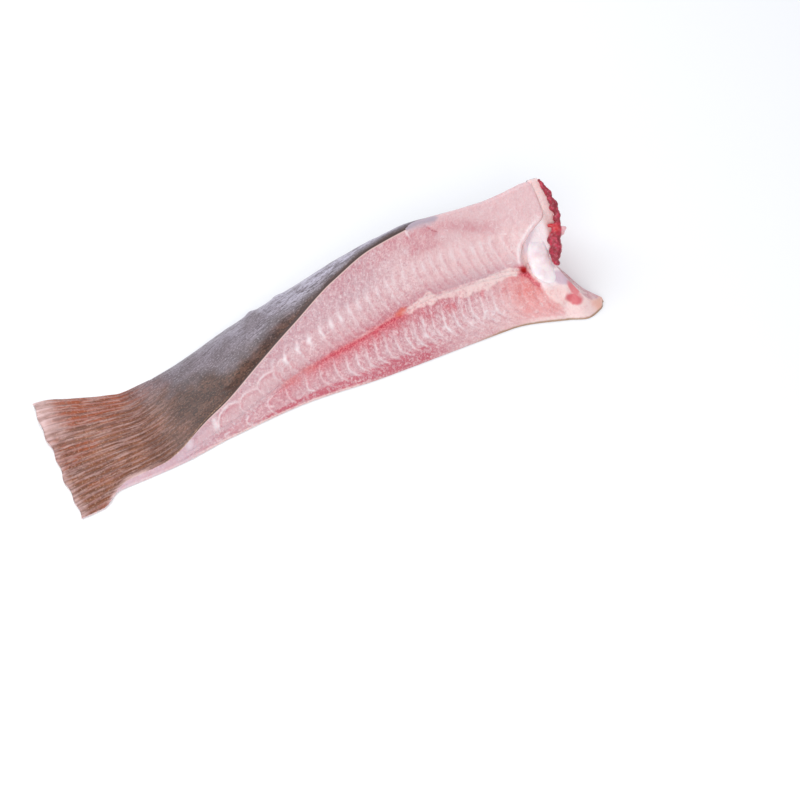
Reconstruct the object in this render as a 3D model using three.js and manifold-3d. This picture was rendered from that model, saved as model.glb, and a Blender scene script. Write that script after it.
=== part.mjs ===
// A strip cut from the wing of a stingray, lying on its pale belly side. Millimetres, +Z up.
// u runs from the fin margin (0) to the thick end where the strip left the body, v from the
// cut face to the natural leading edge, and z is the height. The group then puts the origin
// at the middle of the strip's base.
//
// The strip is a sandwich, and the cut face shows its layers: an upper muscle under the dark
// skin, the flat layer of cartilage rays, and a lower muscle on the pale skin. The rays run on
// past the muscles as the thin ribbed fin. At the thick end stand the white base cartilage that
// the rays grow from, and a seam of dark red tissue.
import * as THREE from "three";
import { mergeVertices } from "three/addons/utils/BufferGeometryUtils.js";
import Module from "manifold-3d";

const wasm = await Module();
wasm.setup();

// ---- Driving dimensions ----
const FLESH_START = 86; // where the two muscles begin, from the margin
const END_ZONE = 340; // from here on the sections are stretched to follow the uneven end
const RIM = 372; // the section that becomes the rim of the hollow in the cut face
const END_WALL = 397; // the last section, which becomes the end wall
const END_WALL_TURN = 0.24; // the end wall falls back this far for each mm behind the cut face
const GAP = 0.3; // between neighbouring layers
const FACE_LEAN = 1.2; // the cut face goes back this far for each mm of height
const RAY_LAYER = 2; // thickness of the layer of rays between the muscles
const RAY_HEIGHT_BACK = 0.2; // height of the ray layer at the leading edge, as a share of the ridge's
const RAY_PITCH = 5.4; // from one ray of the fin to the next
const RAY_RELIEF = 0.45; // how far a ray stands over the web beside it
const FIN_EDGE = 0.9; // least thickness of the fin
const FIN_CURL = 2.2; // how far the margin's back corner is lifted
const FACE_STEPS = 8; // facets up the cut face, per muscle
const DEPTH_STEPS = 8; // facets from the cut face to the leading edge
const FIN_STEPS = 40; // facets across the ribbed fin: two to a ray
const STATION_STEP = 10; // from one section to the next
const FIN_STATION_STEP = 12.8; // the same in the fin
const END_STEP = 5; // the same where the end is uneven

// ---- Smooth curves through a few stations ----
// Each list holds [place, value] pairs; between them the value follows a monotone cubic.
function curve(stations) {
  const slope = stations.map((p, i) => {
    const before = stations[i - 1] ?? p;
    const after = stations[i + 1] ?? p;
    const left = (p[1] - before[1]) / (p[0] - before[0] || 1);
    const right = (after[1] - p[1]) / (after[0] - p[0] || 1);
    return left * right <= 0 ? 0 : (2 * left * right) / (left + right);
  });
  return (place) => {
    if (place <= stations[0][0]) return stations[0][1];
    const last = stations.length - 1;
    if (place >= stations[last][0]) return stations[last][1];
    const i = stations.findIndex((p) => p[0] > place) - 1;
    const [x0, y0] = stations[i];
    const [x1, y1] = stations[i + 1];
    const w = x1 - x0;
    const t = (place - x0) / w;
    const ends = y0 * (1 + 2 * t) * (1 - t) ** 2 + y1 * (3 - 2 * t) * t * t;
    return ends + w * (slope[i] * t * (1 - t) ** 2 - slope[i + 1] * (1 - t) * t * t);
  };
}
const mix = (a, b, t) => a + (b - a) * t;
const smooth = (low, high, x) => THREE.MathUtils.smoothstep(x, low, high);
const steps = (n) => Array.from({ length: n + 1 }, (_, i) => i / n);

// By u, along the strip.
const frontEdge = curve([[0, 0], [16, 1.2], [32, 10.8], [56, 12.2], [78, 13.8], [119, 20.5], [182, 26], [239, 23.5],
  [339, 24.5], [380, 14.4], [394, 9.5], [407, 14], [412, 19]]);
const backEdge = curve([[0, 107], [52, 94], [64, 91], [80, 95], [130, 102], [210, 109], [270, 113],
  [397, 112]]);
const ridgeHeight = curve([[0, 2.2], [26, 2.4], [40, 4], [66, 4.3], [82, 6.2], [102, 11.9], [122, 17],
  [149, 23.8], [187, 35.7], [225, 49.3], [261, 57.3], [303, 59.6], [345, 58.8], [394, 66.8]]);
// The middle of the ray layer on the cut face.
const rayHeight = curve([[40, 1.4], [66, 1.8], [86, 2.6], [110, 4.4], [133, 6.7], [152, 9.5], [181, 13.9],
  [220, 19.4], [263, 24.9], [292, 27.2], [318, 26.8], [345, 25.4], [397, 25.2]]);
// The rise behind the ridge, the swell past the leading edge and how square the back is.
const backCrown = curve([[60, 0.5], [120, 5], [190, 5], [250, 3.5], [290, 4], [320, 2]]);
const backBulge = curve([[60, 1], [130, 2], [210, 5], [300, 1], [397, 1]]);
const shoulder = curve([[60, 0.92], [200, 0.9], [262, 0.68], [300, 0.5], [397, 0.5]]);
// The skinless roll over the crease in the face, and the swell of the two muscles.
const bareRoll = curve([[262, 0], [300, 3], [397, 3.4]]);
const muscleSwell = curve([[90, 0], [135, 1], [180, 1.8]]);
// By z, up the thick end: the end wall, and the rim where the cut face drops into the hollow.
const endWallUp = curve([[0, 412], [3, 411], [5.5, 404.5], [7.7, 399.6], [10.8, 396], [15.9, 391.6],
  [20, 388], [25, 385], [32, 385.6], [36, 387.5], [42, 391.8], [46.5, 395.6], [51, 397], [60, 396.5],
  [68, 393]]);
const hollowRim = curve([[14, 378], [19, 369], [23, 364.5], [27, 362], [30, 360.3], [37, 362], [42, 368.6],
  [46.5, 378], [50.5, 386.9], [54.5, 390.5], [66, 388]]);
const hollowDepth = curve([[13, 0], [20, 5], [26, 9], [38, 8], [48, 5], [56, 3], [66, 2]]);
// By v, from the tip of the foot to the leading edge: the end wall in plan.
const endWallIn = curve([[19, 412], [26, 406], [34, 401], [48, 398], [65, 395.5], [115, 394]]);
const TOP_LINE = [93, 62]; // v and z near which the ridge meets the end wall
const FACE_FOOT = 16; // v of the cut face's lower edge at the thick end
const DEEPEST_TURN = 40; // the end wall falls back no further than at this depth behind the face

// Sections near the two ends are shifted along u, to follow the fin's uneven margin, the rim
// of the hollow and the end wall.
function along(u, v, z) {
  if (u <= END_ZONE) {
    const margin = 4 * (v / 107) + 0.7 * Math.sin(v / 3.1) + 0.5 * Math.sin(v / 7.3);
    return u + margin * (1 - smooth(0, 30, u));
  }
  const rim = hollowRim(z);
  if (u <= RIM) return mix(END_ZONE, rim, (u - END_ZONE) / (RIM - END_ZONE));
  const behind = Math.min(DEEPEST_TURN, Math.max(0, v - FACE_FOOT - FACE_LEAN * z));
  const wall = Math.min(endWallUp(z) - END_WALL_TURN * behind, endWallIn(v));
  return mix(rim, wall, (u - RIM) / (END_WALL - RIM));
}

// The ridge's height in a section, taken where the shifted section meets it.
const heightOf = (u) => ridgeHeight(along(u, ...TOP_LINE));

// ---- The outline of one cross-section; points are [v, z] ----
// A point of the cut face at height z, with the swell of both muscles, the roll and the hollow.
function facePoint(u, z) {
  const at = along(u, frontEdge(u) + FACE_LEAN * z, z);
  const [top, rays] = [heightOf(u), rayHeight(u)];
  const share = z / top;
  const t = z > rays ? (z - rays) / (top - rays) : z / rays;
  const swell = muscleSwell(u) * Math.sin(Math.PI * Math.min(1, t));
  const roll = bareRoll(u) * smooth(0.84, 0.9, share) * (1 - 0.5 * smooth(0.95, 1, share));
  const hollow = hollowDepth(z) * smooth(RIM, RIM + END_STEP, u);
  return [frontEdge(at) + FACE_LEAN * z - swell - roll + hollow, z];
}

const ridge = (u) => facePoint(u, heightOf(u));

// The skin's line over the back, from the ridge (t = 0) down to the floor at the leading edge (t = 1).
function skinPoint(u, t) {
  const [v0, z0] = ridge(u);
  const v3 = backEdge(u);
  const line = new THREE.CubicBezierCurve(
    new THREE.Vector2(v0, z0),
    new THREE.Vector2(mix(v0, v3, 0.45), z0 + backCrown(u)),
    new THREE.Vector2(v3 + backBulge(u), z0 * shoulder(u)),
    new THREE.Vector2(v3, 0),
  );
  const p = line.getPoint(t);
  return [p.x, p.y];
}

// Where the skin's line comes down to a height, found by halving.
function skinAtHeight(u, z) {
  let low = 0.4;
  let high = 1;
  for (let i = 0; i < 30; i++) {
    const t = (low + high) / 2;
    if (skinPoint(u, t)[1] > z) low = t;
    else high = t;
  }
  return low;
}

// The middle of the ray layer, raised by an offset, from the cut face (t = 0) to the skin (t = 1).
function layerLine(u, offset, t) {
  const [v0, z0] = facePoint(u, rayHeight(u) + offset);
  const [v1, z1] = skinPoint(u, skinAtHeight(u, RAY_HEIGHT_BACK * heightOf(u) + offset));
  return [mix(v0, v1, t), mix(z0, z1, t)];
}

// ---- Lofting ----
// A section is a patch with four sides: face and back run upwards, top and floor run from the
// cut face to the leading edge. The sides are joined from section to section, and the first and
// last sections are filled with a grid of facets.
function layer(stations, sides) {
  const points = [];
  const index = [];
  const quad = (a, b, c, d) => index.push(a, b, c, a, c, d);
  const place = (u, [v, z]) => points.push(new THREE.Vector3(along(u, v, z), v, z)) - 1;
  const patches = stations.map((u) => ({ u, ...sides(u) }));
  const rings = patches.map(({ u, face, top, back, floor }) => {
    const down = back.slice(0, -1).reverse();
    const home = floor.slice(1, -1).reverse();
    return [...face, ...top.slice(1), ...down, ...home].map((point) => place(u, point));
  });
  for (let s = 0; s + 1 < rings.length; s++) {
    const [near, far] = [rings[s], rings[s + 1]];
    for (let i = 0; i < near.length; i++) {
      const j = (i + 1) % near.length;
      quad(near[i], near[j], far[j], far[i]);
    }
  }
  for (const s of [0, rings.length - 1]) {
    const { u, face, top, back, floor } = patches[s];
    const [rows, columns] = [face.length - 1, top.length - 1];
    const ring = rings[s];
    const edge = (row, column) => {
      if (column === 0) return ring[row];
      if (row === rows) return ring[rows + column];
      if (column === columns) return ring[2 * rows + columns - row];
      return ring[2 * rows + 2 * columns - column];
    };
    const inner = (row, column) => {
      const [y, x] = [row / rows, column / columns];
      return [0, 1].map((k) => mix(face[row][k], back[row][k], x) + mix(floor[column][k], top[column][k], y)
        - mix(mix(floor[0][k], floor[columns][k], x), mix(top[0][k], top[columns][k], x), y));
    };
    const grid = steps(rows).map((_, row) => steps(columns).map((_, column) => {
      const onEdge = row === 0 || row === rows || column === 0 || column === columns;
      return onEdge ? edge(row, column) : place(u, inner(row, column));
    }));
    for (let row = 0; row < rows; row++) {
      for (let column = 0; column < columns; column++) {
        const [low, high] = [grid[row], grid[row + 1]];
        const corners = [low[column], low[column + 1], high[column + 1], high[column]];
        quad(...(s === 0 ? corners : corners.reverse()));
      }
    }
  }
  return closed(points, index);
}

// A closed geometry from points and triangles, turned so that its faces look outwards.
function closed(points, index) {
  let volume = 0;
  for (let i = 0; i < index.length; i += 3) {
    const [a, b, c] = [0, 1, 2].map((k) => points[index[i + k]]);
    volume += a.dot(b.clone().cross(c));
  }
  const turned = volume < 0 ? index.map((_, i) => index[i - (i % 3) + [0, 2, 1][i % 3]]) : index;
  const geometry = new THREE.BufferGeometry().setFromPoints(points);
  geometry.setIndex(turned);
  return geometry;
}

// ---- Solids for cutting and joining ----
function solid(geometry) {
  const bare = new THREE.BufferGeometry();
  bare.setAttribute("position", geometry.attributes.position.clone());
  if (geometry.index) bare.setIndex(geometry.index.clone());
  const merged = mergeVertices(bare, 1e-4);
  return new wasm.Manifold(new wasm.Mesh({
    numProp: 3,
    vertProperties: new Float32Array(merged.attributes.position.array),
    triVerts: new Uint32Array(merged.index.array),
  }));
}

function geometryOf(manifold) {
  const mesh = manifold.getMesh();
  const geometry = new THREE.BufferGeometry();
  geometry.setAttribute("position", new THREE.BufferAttribute(new Float32Array(mesh.vertProperties), 3));
  geometry.setIndex(new THREE.BufferAttribute(new Uint32Array(mesh.triVerts), 1));
  return geometry;
}

// ---- The two muscles ----
function stationsBetween(from, to, step) {
  return steps(Math.round((to - from) / step)).map((t) => mix(from, to, t));
}
const muscleStations = [
  ...stationsBetween(FLESH_START, END_ZONE, STATION_STEP),
  ...stationsBetween(END_ZONE, RIM, END_STEP).slice(1),
  RIM + END_STEP / 2,
  ...stationsBetween(RIM, END_WALL, END_STEP).slice(1),
];

function upperMuscle() {
  const lift = RAY_LAYER / 2 + GAP;
  const overTheTop = 0.5; // this share of the skin's line counts as the top, the rest as the back
  return layer(muscleStations, (u) => {
    const low = rayHeight(u) + lift;
    const end = skinAtHeight(u, RAY_HEIGHT_BACK * heightOf(u) + lift);
    return {
      face: steps(FACE_STEPS).map((t) => facePoint(u, mix(low, heightOf(u), t))),
      top: steps(DEPTH_STEPS).map((t) => skinPoint(u, t * overTheTop * end)),
      back: steps(FACE_STEPS).map((t) => skinPoint(u, mix(end, overTheTop * end, t))),
      floor: steps(DEPTH_STEPS).map((t) => layerLine(u, lift, t)),
    };
  });
}

function lowerMuscle() {
  const drop = -RAY_LAYER / 2 - GAP;
  return layer(muscleStations, (u) => {
    const high = rayHeight(u) + drop;
    const start = skinAtHeight(u, RAY_HEIGHT_BACK * heightOf(u) + drop);
    const [front] = facePoint(u, 0);
    const back = steps(FACE_STEPS).map((t) => skinPoint(u, mix(1, start, t)));
    return {
      face: steps(FACE_STEPS).map((t) => facePoint(u, high * t)),
      top: steps(DEPTH_STEPS).map((t) => layerLine(u, drop, t)),
      back,
      floor: steps(DEPTH_STEPS).map((t) => [mix(front, back[0][0], t), 0]),
    };
  });
}

// ---- The ray layer and the fin ----
function raysBetweenMuscles() {
  const root = FLESH_START - STATION_STEP; // the layer starts inside the fin
  const stations = [root, ...muscleStations.filter((u) => u <= RIM)];
  return layer(stations, (u) => ({
    face: [layerLine(u, -RAY_LAYER / 2, 0), layerLine(u, RAY_LAYER / 2, 0)],
    top: steps(DEPTH_STEPS).map((t) => layerLine(u, RAY_LAYER / 2, t)),
    back: [layerLine(u, -RAY_LAYER / 2, 1), layerLine(u, RAY_LAYER / 2, 1)],
    floor: steps(DEPTH_STEPS).map((t) => layerLine(u, -RAY_LAYER / 2, t)),
  }));
}

// Before the muscles the layer has the strip's whole thickness, and its rays stand out in ribs.
function fin() {
  const stations = [...stationsBetween(0, 64, FIN_STATION_STEP), 75, FLESH_START - GAP];
  // The back corner of the margin is lifted a little.
  const curl = (u, v) => FIN_CURL * smooth(60, 107, v) * (1 - smooth(0, 60, u));
  const surface = (u, t) => {
    const [v, z] = skinPoint(u, t * 0.97);
    const spread = 1 - smooth(26, 40, u);
    const flat = mix(frontEdge(u), backEdge(u), t);
    const [, thickness] = ridge(u);
    const rounded = thickness * Math.min(1, 0.5 + 6 * t) * Math.min(1, 0.5 + 6 * (1 - t));
    const place = mix(v, flat, spread);
    const rib = RAY_RELIEF * Math.sin((2 * Math.PI * place) / RAY_PITCH);
    return [place, Math.max(FIN_EDGE, mix(z, rounded, spread) + rib) + curl(u, place)];
  };
  const bottom = (u, t) => {
    const v = mix(frontEdge(u), backEdge(u), t);
    return [v, 0.9 * curl(u, v)];
  };
  return layer(stations, (u) => ({
    face: [bottom(u, 0), surface(u, 0)],
    top: steps(FIN_STEPS).map((t) => surface(u, t)),
    back: [bottom(u, 1), surface(u, 1)],
    floor: steps(FIN_STEPS).map((t) => bottom(u, t)),
  }));
}

// ---- Base cartilage: a thick plate in the hollow of the thick end ----
const CARTILAGE_FOOT = new THREE.Vector3(377, 35, 15);
const CARTILAGE_HEAD = new THREE.Vector3(378, 66, 39);
const CARTILAGE_WIDTH = 17;
const CARTILAGE_THICKNESS = 10;
const PLATE_SIDES = 14;
const PLATE_STEPS = 9;

function cartilageGeometry(grow) {
  const run = CARTILAGE_HEAD.clone().sub(CARTILAGE_FOOT);
  const uphill = run.clone().normalize();
  const across = new THREE.Vector3(1, 0.05, 0).normalize();
  const outwards = new THREE.Vector3().crossVectors(across, uphill);
  const rings = steps(PLATE_STEPS).map((t) => {
    const round = Math.sqrt(1 - Math.abs(2 * t - 1) ** 3 * 0.85);
    const centre = CARTILAGE_FOOT.clone().addScaledVector(run, t).addScaledVector(uphill, grow * (2 * t - 1));
    centre.addScaledVector(across, -3 * Math.sin(Math.PI * t));
    return Array.from({ length: PLATE_SIDES }, (_, i) => {
      const angle = (2 * Math.PI * i) / PLATE_SIDES;
      const wide = (grow + (CARTILAGE_WIDTH / 2) * round) * Math.cos(angle);
      const deep = (grow + (CARTILAGE_THICKNESS / 2) * round) * Math.sin(angle);
      return centre.clone().addScaledVector(across, wide).addScaledVector(outwards, deep);
    });
  });
  return tube(rings);
}

// A closed tube through rings of points, its ends closed by fans.
function tube(rings) {
  const count = rings[0].length;
  const points = rings.flat();
  const index = [];
  for (let s = 0; s + 1 < rings.length; s++) {
    for (let i = 0; i < count; i++) {
      const j = (i + 1) % count;
      const [a, b, c, d] = [s * count + i, s * count + j, (s + 1) * count + j, (s + 1) * count + i];
      index.push(a, b, c, a, c, d);
    }
  }
  for (const s of [0, rings.length - 1]) {
    const middle = rings[s].reduce((sum, p) => sum.add(p), new THREE.Vector3()).divideScalar(count);
    points.push(middle);
    for (let i = 0; i < count; i++) {
      const [a, b] = [s * count + i, s * count + ((i + 1) % count)];
      index.push(points.length - 1, ...(s === 0 ? [b, a] : [a, b]));
    }
  }
  return closed(points, index);
}

// ---- Dark tissue: a lumpy seam down the near edge of the end wall ----
const seam = new THREE.CatmullRomCurve3([
  new THREE.Vector3(396, 91, 60.5),
  new THREE.Vector3(398, 83, 55),
  new THREE.Vector3(398.5, 75, 48),
  new THREE.Vector3(395.5, 67, 41.5),
  new THREE.Vector3(391, 59, 34.5),
  new THREE.Vector3(388, 48.5, 25.5),
]);
const FLAP_CENTRE = new THREE.Vector3(400, 64, 39.5); // a small pale flap that hangs on the seam
const FLAP_RADIUS = 4.2;
const seamSize = curve([[0, 1.6], [0.08, 2.8], [0.35, 3.8], [0.5, 4.6], [0.62, 4], [0.8, 5.6], [0.93, 4.8],
  [1, 2.6]]);
const SEAM_STEPS = 18;
const SEAM_SIDES = 10;

function darkTissue(grow) {
  const rings = steps(SEAM_STEPS).map((t) => {
    const centre = seam.getPoint(t);
    const downhill = seam.getTangent(t);
    const inwards = new THREE.Vector3(0, 1, 0).cross(downhill).normalize();
    const upwards = new THREE.Vector3().crossVectors(downhill, inwards);
    centre.addScaledVector(downhill, grow * (2 * t - 1));
    return Array.from({ length: SEAM_SIDES }, (_, i) => {
      const angle = (2 * Math.PI * i) / SEAM_SIDES;
      const lump = 1 + 0.16 * Math.sin(3 * angle + 21 * t) + 0.1 * Math.cos(2 * angle - 34 * t);
      const radius = grow + seamSize(t) * lump;
      return centre.clone().addScaledVector(inwards, radius * Math.cos(angle))
        .addScaledVector(upwards, radius * Math.sin(angle));
    });
  });
  const flap = new THREE.IcosahedronGeometry(grow + FLAP_RADIUS, 1);
  flap.translate(FLAP_CENTRE.x, FLAP_CENTRE.y, FLAP_CENTRE.z);
  return solid(tube(rings)).add(solid(flap));
}

// ---- Fitting the pieces round each other ----
const roomForCartilage = solid(cartilageGeometry(GAP));
const cartilage = solid(cartilageGeometry(0));
const tissue = darkTissue(0).subtract(roomForCartilage);
const room = darkTissue(GAP).add(roomForCartilage);
const upper = solid(upperMuscle()).subtract(room);
const lower = solid(lowerMuscle()).subtract(room);
const rays = solid(raysBetweenMuscles()).add(solid(fin())).subtract(roomForCartilage);

// ---- The scene graph ----
const fleshPink = new THREE.MeshStandardMaterial({ color: 0xd9949c, roughness: 0.45 });
const palePink = new THREE.MeshStandardMaterial({ color: 0xd88791, roughness: 0.45 });
const rayBrown = new THREE.MeshStandardMaterial({ color: 0x9a6f62, roughness: 0.5 });
const cartilageWhite = new THREE.MeshStandardMaterial({ color: 0xeedcdf, roughness: 0.3 });
const bloodRed = new THREE.MeshStandardMaterial({ color: 0x9c2f3f, roughness: 0.35 });

function piece(name, manifold, material) {
  const body = new THREE.Mesh(geometryOf(manifold), material);
  body.name = name;
  return body;
}

const wing = new THREE.Group();
wing.name = "stingray_wing";
wing.add(
  piece("upper_muscle", upper, fleshPink),
  piece("lower_muscle", lower, palePink),
  piece("ray_layer", rays, rayBrown),
  piece("base_cartilage", cartilage, cartilageWhite),
  piece("dark_tissue", tissue, bloodRed),
);
const box = new THREE.Box3().setFromObject(wing);
const middle = box.getCenter(new THREE.Vector3());
wing.position.set(-middle.x, -middle.y, -box.min.z);

export default wing;
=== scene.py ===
# %% [markdown]
# # A cut stingray wing
# The wing is a strip of raw fish, cut across the rays, lying on its pale belly side. The model
# from the CAD step gives its place and its size: this lesson starts by loading it.

# %% Load the measured frame
import math
import bpy
import numpy as np
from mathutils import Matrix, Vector


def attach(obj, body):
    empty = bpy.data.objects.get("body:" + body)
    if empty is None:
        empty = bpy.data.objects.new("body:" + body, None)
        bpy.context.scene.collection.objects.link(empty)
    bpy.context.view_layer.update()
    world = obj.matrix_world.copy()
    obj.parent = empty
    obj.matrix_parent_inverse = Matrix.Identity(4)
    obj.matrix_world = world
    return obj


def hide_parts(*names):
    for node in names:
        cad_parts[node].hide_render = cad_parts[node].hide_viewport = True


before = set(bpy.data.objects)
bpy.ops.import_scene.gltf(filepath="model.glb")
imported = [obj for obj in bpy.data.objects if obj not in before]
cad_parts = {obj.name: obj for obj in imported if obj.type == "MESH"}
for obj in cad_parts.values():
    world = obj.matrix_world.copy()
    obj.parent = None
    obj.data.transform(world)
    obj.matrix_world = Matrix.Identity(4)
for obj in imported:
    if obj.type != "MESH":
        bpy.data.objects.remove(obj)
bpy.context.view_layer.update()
print("nodes:", sorted(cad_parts))

# %% [markdown]
# ## The camera
# The photograph looks down on the wing from its cut side and from the fin's end. The camera is
# placed by a target on the floor, a direction and a distance, and a long lens keeps the
# perspective weak, as in a studio picture of food.

# %% Camera
MM = 0.001
TARGET = Vector((31.86, -56.61, 0)) * MM
VIEW_BACK = Vector((-0.28178, -0.57773, 0.76604))
DISTANCE = 1600 * MM

bpy.ops.object.select_all(action="DESELECT")
bpy.ops.object.camera_add(location=TARGET + VIEW_BACK * DISTANCE)
camera = bpy.context.object
camera.data.lens = 102.86
camera.data.sensor_width = 36
camera.data.clip_start = 0.01
camera.rotation_euler = VIEW_BACK.to_track_quat("Z", "Y").to_euler()
bpy.context.scene.camera = camera
print("camera at", tuple(round(c, 3) for c in camera.location))

# %% [markdown]
# ## Light and floor
# Raw fish is moist, so it wants large soft lights that leave broad, quiet reflections. A pale
# world fills the shadows, one wide panel stands high behind the wing, where it adds real
# reflections to the skin's painted cool sheen, and a second one lights the cut face from the
# camera's side.

# %% Lights and a plain pale floor
def panel(name, place, aim, size, power, colour):
    bpy.ops.object.light_add(type="AREA", location=place)
    lamp = bpy.context.object
    lamp.name = name
    lamp.data.shape = "RECTANGLE"
    lamp.data.size, lamp.data.size_y = size
    lamp.data.energy = power
    lamp.data.color = colour
    lamp.rotation_euler = (Vector(place) - Vector(aim)).to_track_quat("Z", "Y").to_euler()
    return lamp


panel("sky_panel", (-0.35, 0.75, 1.1), (0, 0, 0), (1.4, 0.9), 10, (0.93, 0.96, 1.0))
panel("front_panel", (-0.5, -1.0, 0.9), (0, 0, 0), (1.2, 0.8), 8, (1.0, 0.98, 0.96))

world = bpy.data.worlds.new("pale_room")
bpy.context.scene.world = world
world.use_nodes = True
world.node_tree.nodes["Background"].inputs["Color"].default_value = (0.93, 0.95, 1.0, 1)
world.node_tree.nodes["Background"].inputs["Strength"].default_value = 0.66
bpy.context.scene.view_settings.view_transform = "Standard"

bpy.ops.mesh.primitive_plane_add(size=12, location=(0, 0, 0))
floor = bpy.context.object
floor.name = "pale_floor"
floor.location.z = -0.0004

# %% [markdown]
# ## Small helpers for materials
# Colours are written as the hex values one would pick from a picture, and turned to the linear
# values that the renderer works with. One function adds any node, with its settings and links.

# %% Colour and node helpers
def linear(code):
    parts = [int(code[i : i + 2], 16) / 255 for i in (1, 3, 5)]
    return tuple(p / 12.92 if p <= 0.04045 else ((p + 0.055) / 1.055) ** 2.4 for p in parts) + (1,)


# %% A material under construction
class Finish:
    """A material under construction: a node tree and one principled surface."""

    def __init__(self, name, **surface):
        self.material = bpy.data.materials.new(name)
        self.material.use_nodes = True
        self.tree = self.material.node_tree
        self.surface = self.tree.nodes["Principled BSDF"]
        for socket, value in surface.items():
            self.surface.inputs[socket.replace("_", " ")].default_value = value

    def node(self, kind, settings=None, **links):
        """Adds a node. A link's value is an output socket or a constant, and its key is an
        input's name, or its number after an i."""
        made = self.tree.nodes.new("ShaderNode" + kind)
        for key, value in (settings or {}).items():
            setattr(made, key, value)
        for key, value in links.items():
            by_number = key[0] == "i" and key[1:].isdigit()
            self.put(made.inputs[int(key[1:]) if by_number else key], value)
        return made

    def put(self, socket, value):
        if isinstance(value, bpy.types.NodeSocket):
            self.tree.links.new(value, socket)
        else:
            socket.default_value = value

    def mark(self, name):
        """The value of a mark that was painted on the mesh."""
        return self.node("Attribute", {"attribute_name": name}).outputs["Fac"]

    def place(self, name):
        return self.node("Attribute", {"attribute_name": name}).outputs["Vector"]

    def blend(self, share, below, above):
        mixer = self.node("Mix", {"data_type": "RGBA"}, i0=share, i6=below, i7=above)
        return mixer.outputs[2]

    def tint(self, below, code, share):
        """Lays the colour of a hex value over what is below, as far as the share says."""
        return self.blend(share, below, linear(code))

    def times(self, first, second):
        return self.node("Math", {"operation": "MULTIPLY"}, i0=first, i1=second).outputs[0]

    def noise(self, place, size_mm, detail=2.0, stretch=(1, 1, 1), twist=0.0):
        """Soft noise whose lumps are size_mm across, longer where stretch is above 1."""
        scaled = self.node("Mapping", None, Vector=place, Scale=tuple(1 / s for s in stretch))
        found = self.node("TexNoise", None, Vector=scaled.outputs[0], Scale=1 / (size_mm * MM),
                          Detail=detail, Distortion=twist)
        return found.outputs["Fac"]

    def hairs(self, value, half_width=0.03):
        """Thin lines, where a noise passes through its middle."""
        off = self.node("Math", {"operation": "SUBTRACT"}, i0=value, i1=0.5).outputs[0]
        size = self.node("Math", {"operation": "ABSOLUTE"}, i0=off).outputs[0]
        return self.ramp(size, 0, half_width, 1, 0)

    def ramp(self, value, low, high, out_low=0.0, out_high=1.0):
        """Turns low..high into out_low..out_high, with a soft start and end."""
        found = self.node("MapRange", {"interpolation_type": "SMOOTHSTEP"}, i0=value, i1=low,
                          i2=high, i3=out_low, i4=out_high)
        return found.outputs[0]

    def bumps(self, *layers):
        """Stacks bumps, each a (height, depth in mm, strength), and joins them to the surface."""
        normal = None
        for height, depth_mm, strength in layers:
            below = {"Normal": normal} if normal is not None else {}
            bump = self.node("Bump", None, Height=height, Distance=depth_mm * MM,
                             Strength=strength, **below)
            normal = bump.outputs[0]
        self.tree.links.new(normal, self.surface.inputs["Normal"])

    def colour(self, socket):
        self.tree.links.new(socket, self.surface.inputs["Base Color"])


# %% The floor's finish
pale_board = Finish("matt_white_paper", Roughness=0.9)
pale_board.surface.inputs["Base Color"].default_value = linear("#fafafa")
floor.data.materials.append(pale_board.material)

# %% [markdown]
# ## The wing's own curves
# The strip has no straight line in it, so its form is given by smooth curves through a few
# stations, nearly the same ones that the solids were made from. u runs from the fin's margin
# to the thick end, v from the cut face to the leading edge, and z up, all in millimetres. A
# modeller could also sculpt it by hand, but curves keep the finer mesh close to the solids.

# %% Curves and blends
def curve(*stations):
    """A smooth line through [place, value] pairs, level at its highs and lows."""
    place, value = np.array(stations, float).T
    rise = np.diff(value) / np.diff(place)
    left, right = np.insert(rise, 0, 0), np.append(rise, 0)
    same_way = left * right > 0
    slope = np.where(same_way, 2 * left * right / np.where(same_way, left + right, 1), 0)

    def at(x):
        x = np.clip(x, place[0], place[-1])
        i = np.clip(np.searchsorted(place, x, side="right") - 1, 0, len(rise) - 1)
        wide = place[i + 1] - place[i]
        t = (x - place[i]) / wide
        ends = value[i] * (1 + 2 * t) * (1 - t) ** 2 + value[i + 1] * (3 - 2 * t) * t * t
        return ends + wide * (slope[i] * t * (1 - t) ** 2 - slope[i + 1] * (1 - t) * t * t)

    return at


def mix(a, b, t):
    return a + (b - a) * t


def smooth(low, high, x):
    """Rises from 0 at low to 1 at high."""
    t = np.clip((x - low) / (high - low), 0, 1)
    return t * t * (3 - 2 * t)


def fade(low, high, x):
    """Falls from 1 at low to 0 at high."""
    return 1 - smooth(low, high, x)


def between(x, start, full, ease, end):
    """1 from full to ease, and 0 before start and after end."""
    return smooth(start, full, x) * fade(ease, end, x)


def bell(x, width):
    return np.exp(-((x / width) ** 2))


# %% Stations along the strip
ORIGIN = np.array([205.640, 56.612, 0.0])
FLESH_START, END_ZONE, RIM, END_WALL = 86, 340, 372, 397
END_STEP = 5
END_WALL_TURN = 0.24
FACE_LEAN = 1.2
HALF_LAYER = 1.0
RAY_HEIGHT_BACK = 0.2
RAY_SPACING = 4.05
TOP_LINE = (93, 62)
FACE_FOOT, DEEPEST_TURN = 16, 40

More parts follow.
